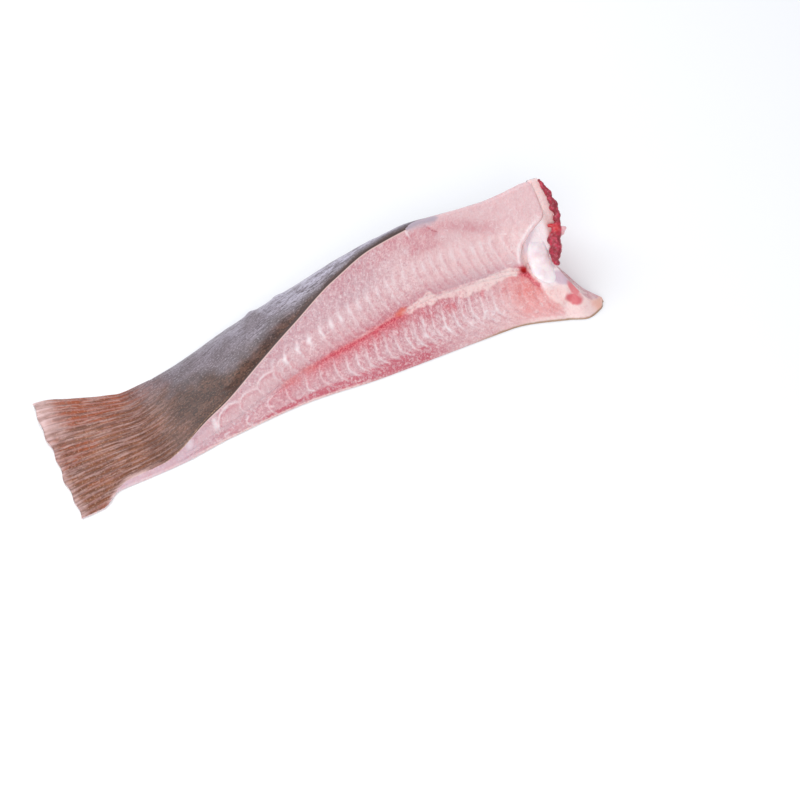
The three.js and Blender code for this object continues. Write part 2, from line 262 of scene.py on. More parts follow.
# %% The strip's outline, the cut face and the thick end
front_edge = curve([0, 0], [16, 1.2], [32, 10.8], [56, 12.2], [78, 13.8], [119, 20.5], [182, 26],
                   [239, 23.5], [339, 24.5], [380, 14.4], [394, 9.5], [407, 14], [412, 19])
back_edge = curve([0, 107], [52, 94], [64, 91], [82, 92.8], [104, 96], [130, 102], [210, 109],
                  [270, 113], [397, 112])
ridge_height = curve([0, 2.2], [26, 2.4], [40, 3.1], [66, 3.4], [82, 6.1], [102, 11.7], [122, 15.8],
                     [149, 23.6], [187, 35.7], [225, 49.3], [261, 57.5], [303, 60.5], [345, 59.1],
                     [394, 66.8])
ray_height = curve([40, 1.4], [66, 1.8], [86, 2.6], [110, 4.4], [133, 6.7], [152, 9.5], [181, 13.9],
                   [220, 19.4], [263, 24.9], [292, 27.2], [318, 26.8], [345, 25.4], [397, 25.2])
back_crown = curve([60, 0.5], [120, 5], [190, 5], [250, 3.5], [290, 4], [320, 2])
back_bulge = curve([60, 1], [130, 2], [210, 5], [300, 1], [397, 1])
shoulder = curve([60, 0.92], [200, 0.9], [262, 0.68], [300, 0.5], [397, 0.5])
bare_roll = curve([297, 0], [306, 2.4], [320, 2.6], [345, 1.7], [397, 1.3])
roll_foot = curve([296, 0.985], [303, 0.96], [312, 0.9], [330, 0.82], [348, 0.72], [397, 0.7])
muscle_swell = curve([90, 0], [135, 1], [180, 1.8])
end_wall_up = curve([0, 412], [3, 411], [5.5, 404.5], [7.7, 399.6], [10.8, 396], [15.9, 391.6],
                    [20, 388], [25, 385], [32, 385.6], [36, 387.5], [42, 391.8], [46.5, 395.6],
                    [51, 397], [60, 396.5], [68, 393])
hollow_rim = curve([14, 378], [19, 369], [23, 364.5], [27, 362.5], [30, 361.5], [37, 364.5],
                   [42, 370.5], [46.5, 377.5], [50.5, 383.8], [54.5, 386.8], [66, 386.2])
hollow_depth = curve([13, 0], [20, 3.5], [26, 5.5], [38, 6.5], [48, 5], [56, 3], [66, 2])
end_wall_in = curve([19, 412], [26, 406], [34, 401], [48, 398], [65, 395.5], [115, 394])


# %% Where a section's points lie
def along(u, v, z):
    """Sections near the two ends are shifted, to follow the margin, the hollow and the end."""
    margin = 4 * (v / 107) + 0.7 * np.sin(v / 3.1) + 0.5 * np.sin(v / 7.3)
    rim = hollow_rim(z)
    behind = np.clip(v - FACE_FOOT - FACE_LEAN * z, 0, DEEPEST_TURN)
    wall = np.minimum(end_wall_up(z) - END_WALL_TURN * behind, end_wall_in(v))
    to_rim = mix(END_ZONE, rim, (u - END_ZONE) / (RIM - END_ZONE))
    to_wall = mix(rim, wall, (u - RIM) / (END_WALL - RIM))
    plain = u + margin * fade(0, 30, u)
    return np.where(u <= END_ZONE, plain, np.where(u <= RIM, to_rim, to_wall))


def in_space(u, section):
    """Points of sections, given as (v, z), with their place along the strip in front."""
    return np.dstack([along(u, section[..., 0], section[..., 1]), section])


# %% The face, the skin's line and the ray layer
def height_of(u):
    return ridge_height(along(u, *TOP_LINE))


def face_point(u, z):
    """A point of the cut face, with the swell of both muscles, the bare roll and the hollow."""
    at = along(u, front_edge(u) + FACE_LEAN * z, z)
    top, rays = height_of(u), ray_height(u)
    t = np.where(z > rays, (z - rays) / (top - rays), z / rays)
    swell = muscle_swell(u) * np.sin(np.pi * np.clip(t, 0, 1))
    share = z / top
    foot = roll_foot(u)
    roll = bare_roll(u) * smooth(foot - 0.05, foot + 0.07, share)
    roll = roll * (1 - 0.5 * smooth(0.95, 1, share))
    hollow = hollow_depth(z) * smooth(RIM, RIM + END_STEP, u)
    v = front_edge(at) + FACE_LEAN * z - swell - roll + hollow
    return np.stack(np.broadcast_arrays(v, z), -1)


def skin_point(u, t):
    """The skin's line over the back, from the ridge (0) to the floor at the leading edge (1)."""
    v0, z0 = np.moveaxis(face_point(u, height_of(u)), -1, 0)
    v3 = back_edge(u)
    weights = (1 - t) ** 3, 3 * t * (1 - t) ** 2, 3 * t * t * (1 - t), t**3
    v = sum(w * c for w, c in zip(weights, (v0, mix(v0, v3, 0.45), v3 + back_bulge(u), v3)))
    z = sum(w * c for w, c in zip(weights, (z0, z0 + back_crown(u), z0 * shoulder(u), 0 * z0)))
    return np.stack(np.broadcast_arrays(v, z), -1)


def skin_at_height(u, z):
    """Where the skin's line comes down to a height, found by halving."""
    low, high = np.full_like(u, 0.4), np.full_like(u, 1.0)
    for _ in range(30):
        t = (low + high) / 2
        above = skin_point(u, t)[..., 1] > z
        low, high = np.where(above, t, low), np.where(above, high, t)
    return low


def layer_line(u, offset, t):
    """The middle of the ray layer, raised by an offset, from the cut face to the skin."""
    start = face_point(u, ray_height(u) + offset)
    end = skin_point(u, skin_at_height(u, RAY_HEIGHT_BACK * height_of(u) + offset))
    return mix(start, end, t[..., None])


print("height at the thick end:", round(float(height_of(END_WALL)), 1), "mm")

# %% [markdown]
# ## Random bumps that are the same each time
# Flesh and skin are never quite even. This noise is a table of seeded random numbers that is
# blended smoothly between its cells, so each run gives the same fish.

# %% Seeded noise on points
CELLS = 64
TABLE = np.random.default_rng(11).uniform(-1, 1, (CELLS, CELLS, CELLS))


def lumps(points, size, seed=0):
    """Smooth bumps from -1 to 1, size mm across; size may differ along each axis."""
    p = points / np.asarray(size, float) + 31.7 * seed
    cell = np.floor(p).astype(int)
    f = p - cell
    f = f * f * (3 - 2 * f)
    total = 0
    for corner in np.ndindex(2, 2, 2):
        weight = np.prod(np.where(corner, f, 1 - f), axis=-1)
        x, y, z = np.moveaxis((cell + corner) % CELLS, -1, 0)
        total = total + weight * TABLE[x, y, z]
    return total


# %% [markdown]
# ## Rolling a sheet into a closed body
# Each muscle is a sheet of facets that is rolled round the strip's sections, as one rolls
# paper round a form. It starts as Blender's grid. Every row of the grid is one section, the
# first and last rows shrink to a point in the middle of the ends, and merging what lies on the
# same spot closes the seam and the ends. The relief is added to the sections before that,
# along the surface's own normals.

# %% From grid to body
SHARP_ANGLE = 50
SAME_SPOT = 2e-6


def raised(points, relief):
    """Moves rows of points outwards by a relief in mm."""
    normal = np.cross(np.gradient(points, axis=0), np.gradient(points, axis=1))
    normal = normal / np.maximum(1e-9, np.linalg.norm(normal, axis=2, keepdims=True))
    return points + normal * relief[..., None]


def walked(section):
    """The length of each section's outline up to each of its points."""
    return np.cumsum(np.linalg.norm(np.diff(section, axis=1, prepend=section[:, :1]), axis=2), 1)


def roll_up(name, points, marks, finish_of, finishes):
    """A closed body from rows of points in mm. marks are painted on the points, and finish_of
    gives the number of the finish for each facet, by its row and column."""
    rows, columns = points.shape[:2]
    bpy.ops.object.select_all(action="DESELECT")
    bpy.ops.mesh.primitive_grid_add(x_subdivisions=columns - 1, y_subdivisions=rows - 1, size=2)
    body = bpy.context.object
    body.name = name
    mesh = body.data
    flat = np.empty(len(mesh.vertices) * 3, np.float32)
    mesh.vertices.foreach_get("co", flat)
    spot = (flat.reshape(-1, 3)[:, :2] + 1) / 2
    column = np.rint(spot[:, 0] * (columns - 1)).astype(int)
    row = np.rint(spot[:, 1] * (rows - 1)).astype(int)
    placed = (points - ORIGIN) * MM
    mesh.vertices.foreach_set("co", placed[row, column].astype(np.float32).ravel())
    for mark, value in marks.items():
        kind, slot = ("FLOAT_VECTOR", "vector") if value.ndim == 3 else ("FLOAT", "value")
        layer = mesh.attributes.new(mark, kind, "POINT")
        layer.data.foreach_set(slot, value[row, column].astype(np.float32).ravel())
    corners = np.empty(len(mesh.loops), np.int32)
    mesh.loops.foreach_get("vertex_index", corners)
    quads = corners.reshape(-1, 4)
    low_row, low_column = row[quads].min(1), column[quads].min(1)
    mesh.polygons.foreach_set("material_index", finish_of[low_row, low_column].astype(np.int32))
    for finish in finishes:
        mesh.materials.append(finish.material)
    bpy.ops.object.mode_set(mode="EDIT")
    bpy.ops.mesh.select_all(action="SELECT")
    bpy.ops.mesh.remove_doubles(threshold=SAME_SPOT)
    bpy.ops.mesh.dissolve_degenerate(threshold=1e-6)
    bpy.ops.mesh.normals_make_consistent(inside=False)
    bpy.ops.object.mode_set(mode="OBJECT")
    body.location = (0, 0, 0)
    bpy.ops.object.shade_smooth_by_angle(angle=math.radians(SHARP_ANGLE))
    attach(body, "root")
    print(name, "has", len(mesh.polygons), "facets")
    return body


# %% Closed ends
CAP_STEPS = 14


def cut_across(points):
    """Marks for muscle that was cut across at the thick end: rosy flesh with cream membranes."""
    cream = 0.7 * smooth(0.15, 0.5, lumps(points, (8, 8, 5), 42))
    return {"pale": 0.6, "rosy": 0.35 + 0.3 * lumps(points, 6, 41), "cream": cream, "grainy": 1}


def with_ends(rows):
    """Repeats the first and the last row, once for each step of the ends."""
    first, last = np.repeat(rows[:1], CAP_STEPS, 0), np.repeat(rows[-1:], CAP_STEPS, 0)
    return np.concatenate([first, rows, last])


def close_up(name, u, points, marks, finish_of, finishes, cut=False):
    """A body whose two ends are closed by rows that shrink towards the section's middle. A cut
    body shows bare flesh there."""
    u = u + 0 * points[..., 0]
    section = points[..., 1:]
    shrink = np.linspace(0, 1, CAP_STEPS + 1)[:0:-1]
    middle = section.mean(axis=1, keepdims=True)
    near = mix(section[:1], middle[:1], shrink[:, None, None])
    far = mix(section[-1:], middle[-1:], shrink[::-1, None, None])
    all_points = in_space(with_ends(u), np.concatenate([near, section, far]))
    all_marks = {mark: with_ends(value) for mark, value in marks.items()}
    all_finishes = with_ends(finish_of)
    if cut:
        at_rim = smooth(0.9, 1, shrink[::-1])[:, None]
        inside = cut_across(all_points[-CAP_STEPS:])
        for mark, value in all_marks.items():
            if value.ndim == 2:
                value[-CAP_STEPS:] = mix(inside.get(mark, 0), value[-CAP_STEPS:], at_rim)
        all_finishes[:CAP_STEPS] = all_finishes[-CAP_STEPS:] = 0
    all_points[CAP_STEPS:-CAP_STEPS] = points
    return roll_up(name, all_points, all_marks, all_finishes, finishes)


def rows_between(*parts):
    """Section places from several (from, to, step) runs that follow on."""
    runs = [np.linspace(a, b, int(round((b - a) / step)) + 1) for a, b, step in parts]
    return np.concatenate([runs[0]] + [run[1:] for run in runs[1:]])[:, None]


# %% [markdown]
# ## What the knife laid bare
# The cut face shows the muscle segments as a row of cells. Between them stand thin white
# walls of connective tissue, which bend where they meet the ray layer, so above it each wall
# shows as a small white V and below it as a hook. These marks are worked out on the mesh's
# points as distances in millimetres, because both the colour and the relief follow them.

# %% Where a point lies on the cut face
WALLS_ABOVE = np.array([52, 74, 93, 110.5, 131, 148, 162, 173.5, 184, 194.2, 204, 212.5, 220.5,
                        228.5, 236.3, 244])
WALLS_BELOW = np.array([62, 81, 98, 115, 131.8, 149, 165.5, 181, 193.2, 204.8, 213.8, 221.8,
                        229.8, 237.6, 245.4])
FINE_PITCH = 7.8
PAST_THE_END = 430
FOOT_TOP = 19
knot_height = curve([93, 0.5], [111, 0.45], [131, 0.6], [162, 0.55], [184, 0.515], [200, 0.48],
                    [240, 0.46])
foot_border = curve([0, 383], [3.7, 380.9], [7.6, 378.4], [10.5, 373.5], [12.7, 371.6],
                    [17.6, 368.9], [19, 369])


def walls(listed):
    """The listed walls, and finely spaced ones from there to the thick end."""
    more = np.arange(listed[-1] + FINE_PITCH, PAST_THE_END, FINE_PITCH)
    wobble = 1.1 * np.sin(more * 0.61) + 0.7 * np.sin(more * 0.23)
    return np.concatenate([listed, more + wobble])


def from_wall(at, places):
    """Signed distance to the nearest wall in mm, and the place counted in segments."""
    count = np.interp(at, places, np.arange(len(places)))
    return at - np.interp(np.rint(count), np.arange(len(places)), places), count


# %% Ovals and drawn lines
def oval(x, y, half_x, half_y, soft=0.25):
    """1 inside an oval, 0 outside, with a soft edge."""
    return smooth(1 + soft, 1 - soft, np.hypot(x / half_x, y / half_y))


def from_lines(x, y, lines):
    """Distance to the nearest of several lines through listed points, in mm."""
    nearest = np.full(x.shape, 99.0)
    for line in lines:
        for (x0, y0), (x1, y1) in zip(line, line[1:]):
            along_line = (x - x0) * (x1 - x0) + (y - y0) * (y1 - y0)
            t = np.clip(along_line / ((x1 - x0) ** 2 + (y1 - y0) ** 2), 0, 1)
            nearest = np.minimum(nearest, np.hypot(x - mix(x0, x1, t), y - mix(y0, y1, t)))
    return nearest


# %% Places and random fields on the cut face
class FacePlaces:
    """Points on the cut face: their place along it, above or below the rays, and random fields."""

    def __init__(self, points, u):
        self.points, self.u = points, u
        self.at, self.v, self.z = np.moveaxis(points, -1, 0)
        top, self.rays = height_of(u) + 0 * self.z, ray_height(u) + 0 * self.z
        self.tall = top - self.rays
        self.over = self.z - self.rays
        self.up = np.clip(self.over / self.tall, 0, 1)
        self.down = np.clip(-self.over / self.rays, 0, 1)
        self.wander = lumps(points, 5, 1) + 0.6 * lumps(points, 2.2, 2)
        patches = lumps(points, (9, 6, 6), 17) + 0.5 * lumps(points, 3, 18)
        self.patchy = 0.5 + 0.5 * np.clip(patches, -1, 1)
        self.far = smooth(150, 190, self.at)
        on_foot = fade(-1.5, 1.5, self.at - foot_border(self.z) + 0.8 * self.wander)
        self.flesh = fade(RIM, RIM + 2, u) * np.where(self.z < FOOT_TOP, on_foot, 1)


print("walls above and below the rays:", len(walls(WALLS_ABOVE)), len(walls(WALLS_BELOW)))

# %% [markdown]
# ## Muscle segments
# The segments near the fin are large and each has its own shape, so their outlines are drawn
# one by one as lines of (place along, height). Further on they are narrow and alike, and one
# bent wall is repeated. A painted picture could do this too, but distances keep it sharp.

# %% The outlines of the first segments
CELLS_ABOVE = (
    ((133, 13.4), (128.5, 13.9), (123.4, 14), (119.5, 13.2), (116, 11.8), (113.5, 9.8), (112, 7),
     (112.3, 5)),
    ((147.5, 15.4), (142, 16), (137.1, 15.6), (134, 14.6), (131.8, 12.8), (131.2, 10.8),
     (132.7, 8.6), (135.2, 7)),
    ((163.4, 20.1), (159.5, 20), (155.9, 19.7), (152, 18.8), (149, 17.6), (147.6, 16),
     (148.4, 13.6), (153, 9.9)),
    ((163.4, 20.1), (161.6, 18.4), (162.7, 16.3), (165.9, 12.8)),
)
CELLS_BELOW = (
    ((118, 2.8), (114.1, 2.7), (114.1, 1.6)),
    ((134.8, 5.5), (132.6, 4.6), (132.1, 3.6), (133, 2.3), (137.3, 1)),
    ((155.5, 9.3), (152.6, 8.7), (151, 7.6), (150.4, 6), (151.5, 3.6), (154.1, 1.7)),
    ((150.7, 5.9), (154.1, 5.4)),
    ((166.6, 9.6), (166.3, 7.8), (166.8, 5.8), (168.2, 4), (170.2, 3)),
    ((182.6, 12.4), (182.5, 9.6), (181.7, 7.4), (182.3, 5.6), (185.3, 4.7)),
    ((195.8, 15), (194.2, 12.6), (193.5, 10), (194.2, 7.4), (197, 5.4)),
    ((206.4, 15.5), (205.4, 12), (205.4, 9.2), (206.8, 6.6), (209, 5.6)),
)
print("drawn outlines:", len(CELLS_ABOVE), "above the rays and", len(CELLS_BELOW), "below")


# %% The white walls between muscle segments
KNOT_HALF_WIDTH, KNOT_HALF_HEIGHT = 1.5, 3.1
WALL_HALF_WIDTH, LINE_HALF_WIDTH = 0.8, 0.5
DRAWN_ABOVE, DRAWN_BELOW = (158, 168), (207, 214)
HOOK_TURN = 0.45


def upper_walls(f):
    """Above the rays: a white knot on each wall, an arc down from it, and scallops between."""
    knot = knot_height(f.at)
    below = np.clip(1 - f.up / knot, 0, 1)
    bend_below = mix(3.5 * below**2, 9 * (1 - np.sqrt(1 - below)), f.far)
    bend = np.where(f.up < knot, bend_below, 50 * (f.up - knot) ** 2)
    off, count = from_wall(f.at - bend + 0.8 * f.wander, walls(WALLS_ABOVE))
    above_knot = (f.up - knot) * f.tall
    drawn = fade(*DRAWN_ABOVE, f.at)
    knots = bell(off, KNOT_HALF_WIDTH) * bell(above_knot, KNOT_HALF_HEIGHT) * (1 - drawn)
    knots = knots * mix(0.55, 1, f.patchy) * mix(1, 0.5, smooth(210, 262, f.at))
    arcs = bell(off, WALL_HALF_WIDTH) * between(f.up, -0.05, 0.1, 0.72, 0.9)
    arcs = arcs * mix(0.35, 1, f.patchy)
    arcs = arcs * np.where(f.up < knot, mix(0.5, 0.4, f.far), mix(0.3, 0.16, f.far))
    arcs = arcs * mix(1, 0.5, smooth(255, 280, f.at)) * (1 - drawn)
    outline = from_lines(f.at, f.z + 0.25 * f.wander, CELLS_ABOVE)
    outlines = 0.65 * bell(outline, LINE_HALF_WIDTH) * mix(0.4, 1, f.patchy)
    roof = knot + 0.07 * np.sin(np.pi * (count % 1)) + 0.02 * f.wander
    scallops = 0.35 * bell((f.up - roof) * f.tall, 0.7) * fade(175, 215, f.at)
    scallops = scallops * mix(0.3, 1, f.patchy) * (1 - drawn)
    granular = smooth(-0.03, 0.08, f.up - roof) * fade(235, 275, f.at)
    beside = bell(off - 1.9, 1.1) * smooth(0.0, 0.1, f.up) * fade(0, 3, above_knot)
    beside = beside * mix(0.55, 0.28, f.far) * (1 - drawn)
    beside = beside + 0.35 * drawn * bell(from_lines(f.at - 1.2, f.z + 1, CELLS_ABOVE), 1.0)
    knots = knots + 0.2 * oval(f.at - 110.7, f.z - 8.8 + 0.4 * f.wander, 1.3, 2.6, 0.7)
    white = np.maximum(np.maximum(knots, arcs), outlines) + scallops
    return white, granular, bend, off, beside


# %% The hooks below the rays
def lower_walls(f):
    """Below the rays: hooks that turn towards the thick end, and feathered fibres further on."""
    near_rays = 3 * (np.maximum(0, HOOK_TURN - f.down) / HOOK_TURN) ** 1.5
    bend = np.where(f.down < HOOK_TURN, near_rays, 5 * ((f.down - HOOK_TURN) / 0.27) ** 2)
    off = from_wall(f.at - bend + 0.7 * f.wander, walls(WALLS_BELOW))[0]
    strength = between(f.down, 0.1, 0.32, 0.72, 0.8) * mix(0.55, 1, f.patchy)
    strength = strength * mix(1, 0.2, smooth(325, 352, f.at))
    fine = smooth(200, 240, f.at)
    drawn = fade(*DRAWN_BELOW, f.at)
    hooks = bell(off, 0.75) * strength * mix(1, 0.6, fine) * (1 - drawn)
    outline = from_lines(f.at, f.z + 0.25 * f.wander, CELLS_BELOW)
    hooks = hooks + 0.7 * bell(outline, LINE_HALF_WIDTH) * mix(0.35, 1, f.patchy)
    branch_bend = 9 * np.maximum(0, f.down - 0.5) / 0.25
    branch = from_wall(f.at + branch_bend + 0.5 * f.wander, walls(WALLS_BELOW))[0]
    fork = bell(branch, WALL_HALF_WIDTH) * between(f.down, 0.5, 0.56, 0.7, 0.76)
    fork = fork * (1 - fine) * f.patchy
    shade = bell(off - 2.4, 1.5) * strength * mix(1, 0.4, fine) * (1 - 0.3 * drawn)
    teeth = 0.56 + 0.05 * np.sin(f.at * 0.75) + 0.03 * f.wander
    zigzag = bell(f.down - teeth, 0.05) * between(f.at, 262, 275, 335, 350)
    zigzag = zigzag * smooth(-0.2, 0.5, f.wander)
    return hooks + 0.5 * fork + 0.55 * zigzag, shade, bend, off


# %% [markdown]
# ## Blood, membranes and the thick end
# Blood has soaked the flesh along the rays and fills a small pit beside the cartilage. Ragged
# cream membrane lies on the rays, and thin skins line the hollow at the thick end. They have
# no pattern, so each is placed by its own line or oval, and roughened by the random fields.

# %% Blood, cream membranes and the thick end
cream_top = curve([262, 0.2], [272, 0.5], [280, 0.8], [288, 2.1], [296, -0.3], [312, -0.8],
                  [320, -0.9], [329, 0], [337, 0.6], [345, 1.5], [353, 2.3], [362, 1.5])
cream_low = curve([262, -0.6], [270, -2.2], [279, -2.4], [287, -3.3], [295, -2.9], [303, -3.5],
                  [310, -4.3], [317, -4.9], [326, -4.8], [334, -4.2], [343, -2.9], [351, -1.7],
                  [362, -0.8])
stain_along = curve([146, 0], [160, 0.22], [172, 0.4], [186, 0.5], [200, 0.7], [217, 1],
                    [230, 0.8], [250, 1], [263, 1], [274, 0.5], [300, 0.2], [345, 0.1])
PIT, SALMON = (361.8, 25.9), (360, 15)
UPPER_SPOT, LOWER_SPOT = (390.6, 15.6), (388.2, 10.9)
PALE_ORANGE_DROPS = ((172, 12.2, 6.5, 1.7), (187, 14.4, 5.5, 1.6))
GLINTS = ((110.3, 0.5, 2.2, 0.34, 0.5), (88, 0.7, 3, 0.3, 0.6))
PLATE_FOOT = np.array([377, 35, 15])
PLATE_HEAD = np.array([378, 66, 39])
fold_line = curve([0.8, 311.5], [0.813, 310.3], [0.883, 305.5], [0.952, 303.5], [0.98, 303.2])
crease_line = curve([300, 0.96], [312, 0.9], [330, 0.817], [348, 0.69], [362, 0.66])
scrap_line = curve([286, 1.0], [290, 0.955], [303, 0.93], [312, 0.975], [318, 1.02])


# %% Blood and orange drops
def blood_marks(f):
    """The stain under the rays, three orange drops, the pit and the red line below it."""
    ooze = bell(f.over + 0.7 + 0.5 * f.wander, 1.0) * mix(0.6, 1, f.patchy)
    soaked = 0.75 * ooze + 0.55 * bell(f.over + 1.6 + 0.7 * f.wander, 3.2) + 0.14 * bell(f.over, 6)
    stain = stain_along(f.at) * soaked
    orange = 0.9 * oval(f.at - 264.5, f.over - 0.2 + 0.4 * f.wander, 4.5, 1.3, 0.6)
    for drop_at, drop_z, long, high in PALE_ORANGE_DROPS:
        above_drop = f.z - drop_z + 0.6 * f.wander
        orange = orange + 0.25 * oval(f.at - drop_at, above_drop, long, high, 0.9)
    blotches = smooth(0.05, 0.6, lumps(f.points, (6, 5, 3.5), 31)) * bell(f.over + 6, 3)
    stain = stain + 0.5 * blotches * between(f.at, 272, 282, 335, 350)
    pit = oval(f.at - PIT[0] + 0.4 * f.wander, f.z - PIT[1], 2.9, 1.5, 0.5)
    around_pit = oval(f.at - 362, f.z - 25.4 + 0.6 * f.wander, 6.5, 2.8, 0.7)
    line = bell((f.at - 362) * 0.72 + (f.z - 24) * 0.7 + 0.8 * f.wander, 1.8)
    line = line * between(f.z, 15, 19, 25, 28) * between(f.at, 356, 361, 370, 375)
    stain = stain + 0.95 * around_pit + 1.1 * line * mix(0.5, 1, f.patchy)
    return np.clip(stain, 0, 1), orange, pit, line


# %% Membranes and the hollow's lining
def end_marks(f):
    """The ragged cream membrane on the rays, and the skins that line the thick end."""
    ragged = 0.9 * lumps(f.points, (2.6, 9, 9), 21) + 0.5 * f.wander
    band = smooth(-0.7, 0.5, cream_top(f.at) - f.over + 0.7 * ragged)
    band = band * smooth(-0.5, 0.5, f.over - cream_low(f.at) + ragged)
    band = band * between(f.at, 262, 272, 355, 363) * f.flesh * mix(0.75, 1, f.patchy)
    thread = bell(f.over - 0.1 - 0.5 * f.wander, 0.55) * between(f.at, 195, 225, 264, 276)
    thread = thread * f.patchy
    gristle_way = PLATE_HEAD - PLATE_FOOT
    t = (f.points - PLATE_FOOT) @ gristle_way / (gristle_way @ gristle_way)
    nearest = PLATE_FOOT + np.clip(t, -0.05, 1.25)[..., None] * gristle_way
    from_plate = np.linalg.norm(f.points - nearest, axis=-1)
    past_spot = f.at - UPPER_SPOT[0]
    tilted = f.z - UPPER_SPOT[1] + 0.1 * past_spot
    upper_spot = oval(past_spot, tilted + 0.7 * f.wander, 3.4, 2.7)
    below_spot = f.z - LOWER_SPOT[1] + 0.7 * f.wander
    lower_spot = oval(f.at - LOWER_SPOT[0] + f.wander, below_spot, 5.6, 3.0)
    spots = np.maximum(0.75 * upper_spot, 0.95 * lower_spot) * (1 - f.flesh)
    sheet = oval(f.at - 385.6, f.z - 19.4 + 0.4 * f.wander, 6.2, 2.7) * (1 - f.flesh)
    web_line = 368.5 + 0.92 * (f.z - 32.7)
    web = bell(f.at - web_line + 0.6 * f.wander, 2.4) * between(f.z, 29, 33, 41, 46)
    film = np.maximum(sheet, 0.75 * web * (1 - f.flesh))
    blush = oval(f.at - 384, f.z - 37, 4.5, 4, 0.5) * (1 - f.flesh)
    return band, thread, from_plate, spots, film, blush


# %% [markdown]
# ## Pinks and films of the cut face
# The flesh is rosier near the rays and the belly, paler towards the thick end, and salmon red
# beside the pit. A lilac scrap of membrane lies on the bare roll, and the thin end is filmed
# over. Each of these is one soft mark, so that the finish can mix its own colour for it.

# %% Rosy and salmon flesh
def folds_and_pinks(f, beside, shade):
    """Two pink creases above the rays, and the rosy share of the flesh all over."""
    is_up = f.over > 0
    fold = bell(f.at - fold_line(f.up), 0.8) * between(f.up, 0.8, 0.83, 0.94, 0.97) * is_up
    crease = 0.75 * bell(f.up - crease_line(f.at), 0.085) * between(f.at, 306, 318, 345, 362) * is_up
    pink_zone = between(f.up, 0.52, 0.68, 0.9, 0.99) * between(f.at, 281, 288, 300, 322)
    pink_zone = pink_zone * mix(0.6, 1, f.patchy)
    near_skin = smooth(0.66, 0.85, f.up) * between(f.at, 205, 232, 280, 290)
    near_skin = near_skin * mix(0.5, 1, f.patchy)
    rosy_up = 0.3 * smooth(0.35, 0.0, f.up) * between(f.at, 165, 220, 270, 320)
    rosy_up = rosy_up + 0.55 * crease + 0.6 * fold + 0.5 * pink_zone + 0.35 * near_skin + beside
    deep = smooth(0.5, 0.12, f.down) * between(f.at, 200, 235, 300, 330)
    strip = 0.9 * smooth(0.64, 0.76, f.down) * between(f.at, 130, 160, 262, 300)
    rosy_down = 0.27 + 0.45 * deep + strip + 0.5 * shade
    rosy_down = rosy_down * mix(1, 0.35, smooth(285, 335, f.at) * smooth(0.2, 0.5, f.down))
    rosy = np.where(is_up, rosy_up, rosy_down * smooth(0, 0.12, f.down))
    return fold, crease, rosy + 0.12 * f.wander + 0.14 * (f.patchy - 0.5)


def salmon_flesh(f, band, blush):
    """Salmon red beside the pit, on the foot's flesh and in the hollow."""
    beside_pit = bell(np.hypot((f.at - SALMON[0]) / 17, (f.z - SALMON[1]) / 12), 1)
    beside_pit = beside_pit * fade(0, 1, f.over) * mix(0.7, 1, f.patchy)
    on_foot = bell(np.hypot((f.at - 375) / 6, (f.z - 7) / 3), 1)
    return np.clip(1.15 * beside_pit + 0.35 * on_foot, 0, 1) * (1 - band) + 0.6 * blush


# %% Pale, grainy and feathered flesh, and the films on it
pale_along = curve([100, 0.2], [150, 0.35], [200, 0.3], [250, 0.5], [290, 0.85], [345, 1], [375, 1])


def texture_marks(f, granular):
    """Where the flesh is pale, where it is grainy, and where its fibres show as feathers."""
    is_up = f.over > 0
    pale_up = smooth(0.0, 0.3, f.up) * (1 - 0.3 * smooth(0.5, 0.75, f.up))
    pale = pale_along(f.at) * np.where(is_up, pale_up, mix(0.5, 1, smooth(290, 350, f.at)))
    grainy_up = mix(1, 0.3, smooth(255, 310, f.at))
    grainy_up = grainy_up * np.where(granular > 0.5, 1, mix(0.5, 1, f.far))
    grainy = np.where(is_up, grainy_up, mix(1, 0.45, smooth(325, 350, f.at)))
    feather_up = mix(0.12, 0.4, smooth(190, 240, f.at)) * mix(1, 0.4, smooth(290, 330, f.at))
    feather_down = 0.6 * smooth(195, 235, f.at) * mix(1, 0.25, smooth(318, 348, f.at))
    feather = np.where(is_up, feather_up, feather_down)
    feather = feather * smooth(0.05, 0.2, np.where(is_up, f.up, f.down)) * fade(0.68, 0.85, f.down)
    return {"pale": pale, "grainy": grainy * f.flesh, "feather": feather * f.flesh}


def film_marks(f, film):
    """The lilac scrap on the roll, the films of the thin end and the foot, and thin edge lines."""
    lilac = smooth(-0.025, 0.02, f.up - scrap_line(f.at) + 0.008 * f.wander)
    lilac = lilac * between(f.at, 286, 290, 310, 319) * (f.over > 0)
    lilac = lilac * mix(0.4, 0.95, smooth(0.95, 1.0, f.up))
    thin_end = fade(84, 112, f.at + 5 * f.wander) * mix(0.25, 0.6, f.patchy)
    ochre = smooth(1.3, 0.5, f.z + 0.2 * f.wander) * smooth(300, 335, f.at)
    tip = smooth(396, 407, f.at + 2.5 * f.wander) * (1 - f.flesh) * 0.7
    rim_line = bell(f.u - RIM + 0.6 + 0.4 * f.wander, 0.6) * smooth(36, 44, f.z) * 0.5 * f.patchy
    return {"lilac": lilac, "film": np.maximum(film, thin_end), "ochre": ochre, "tip": tip,
            "rim_line": rim_line}


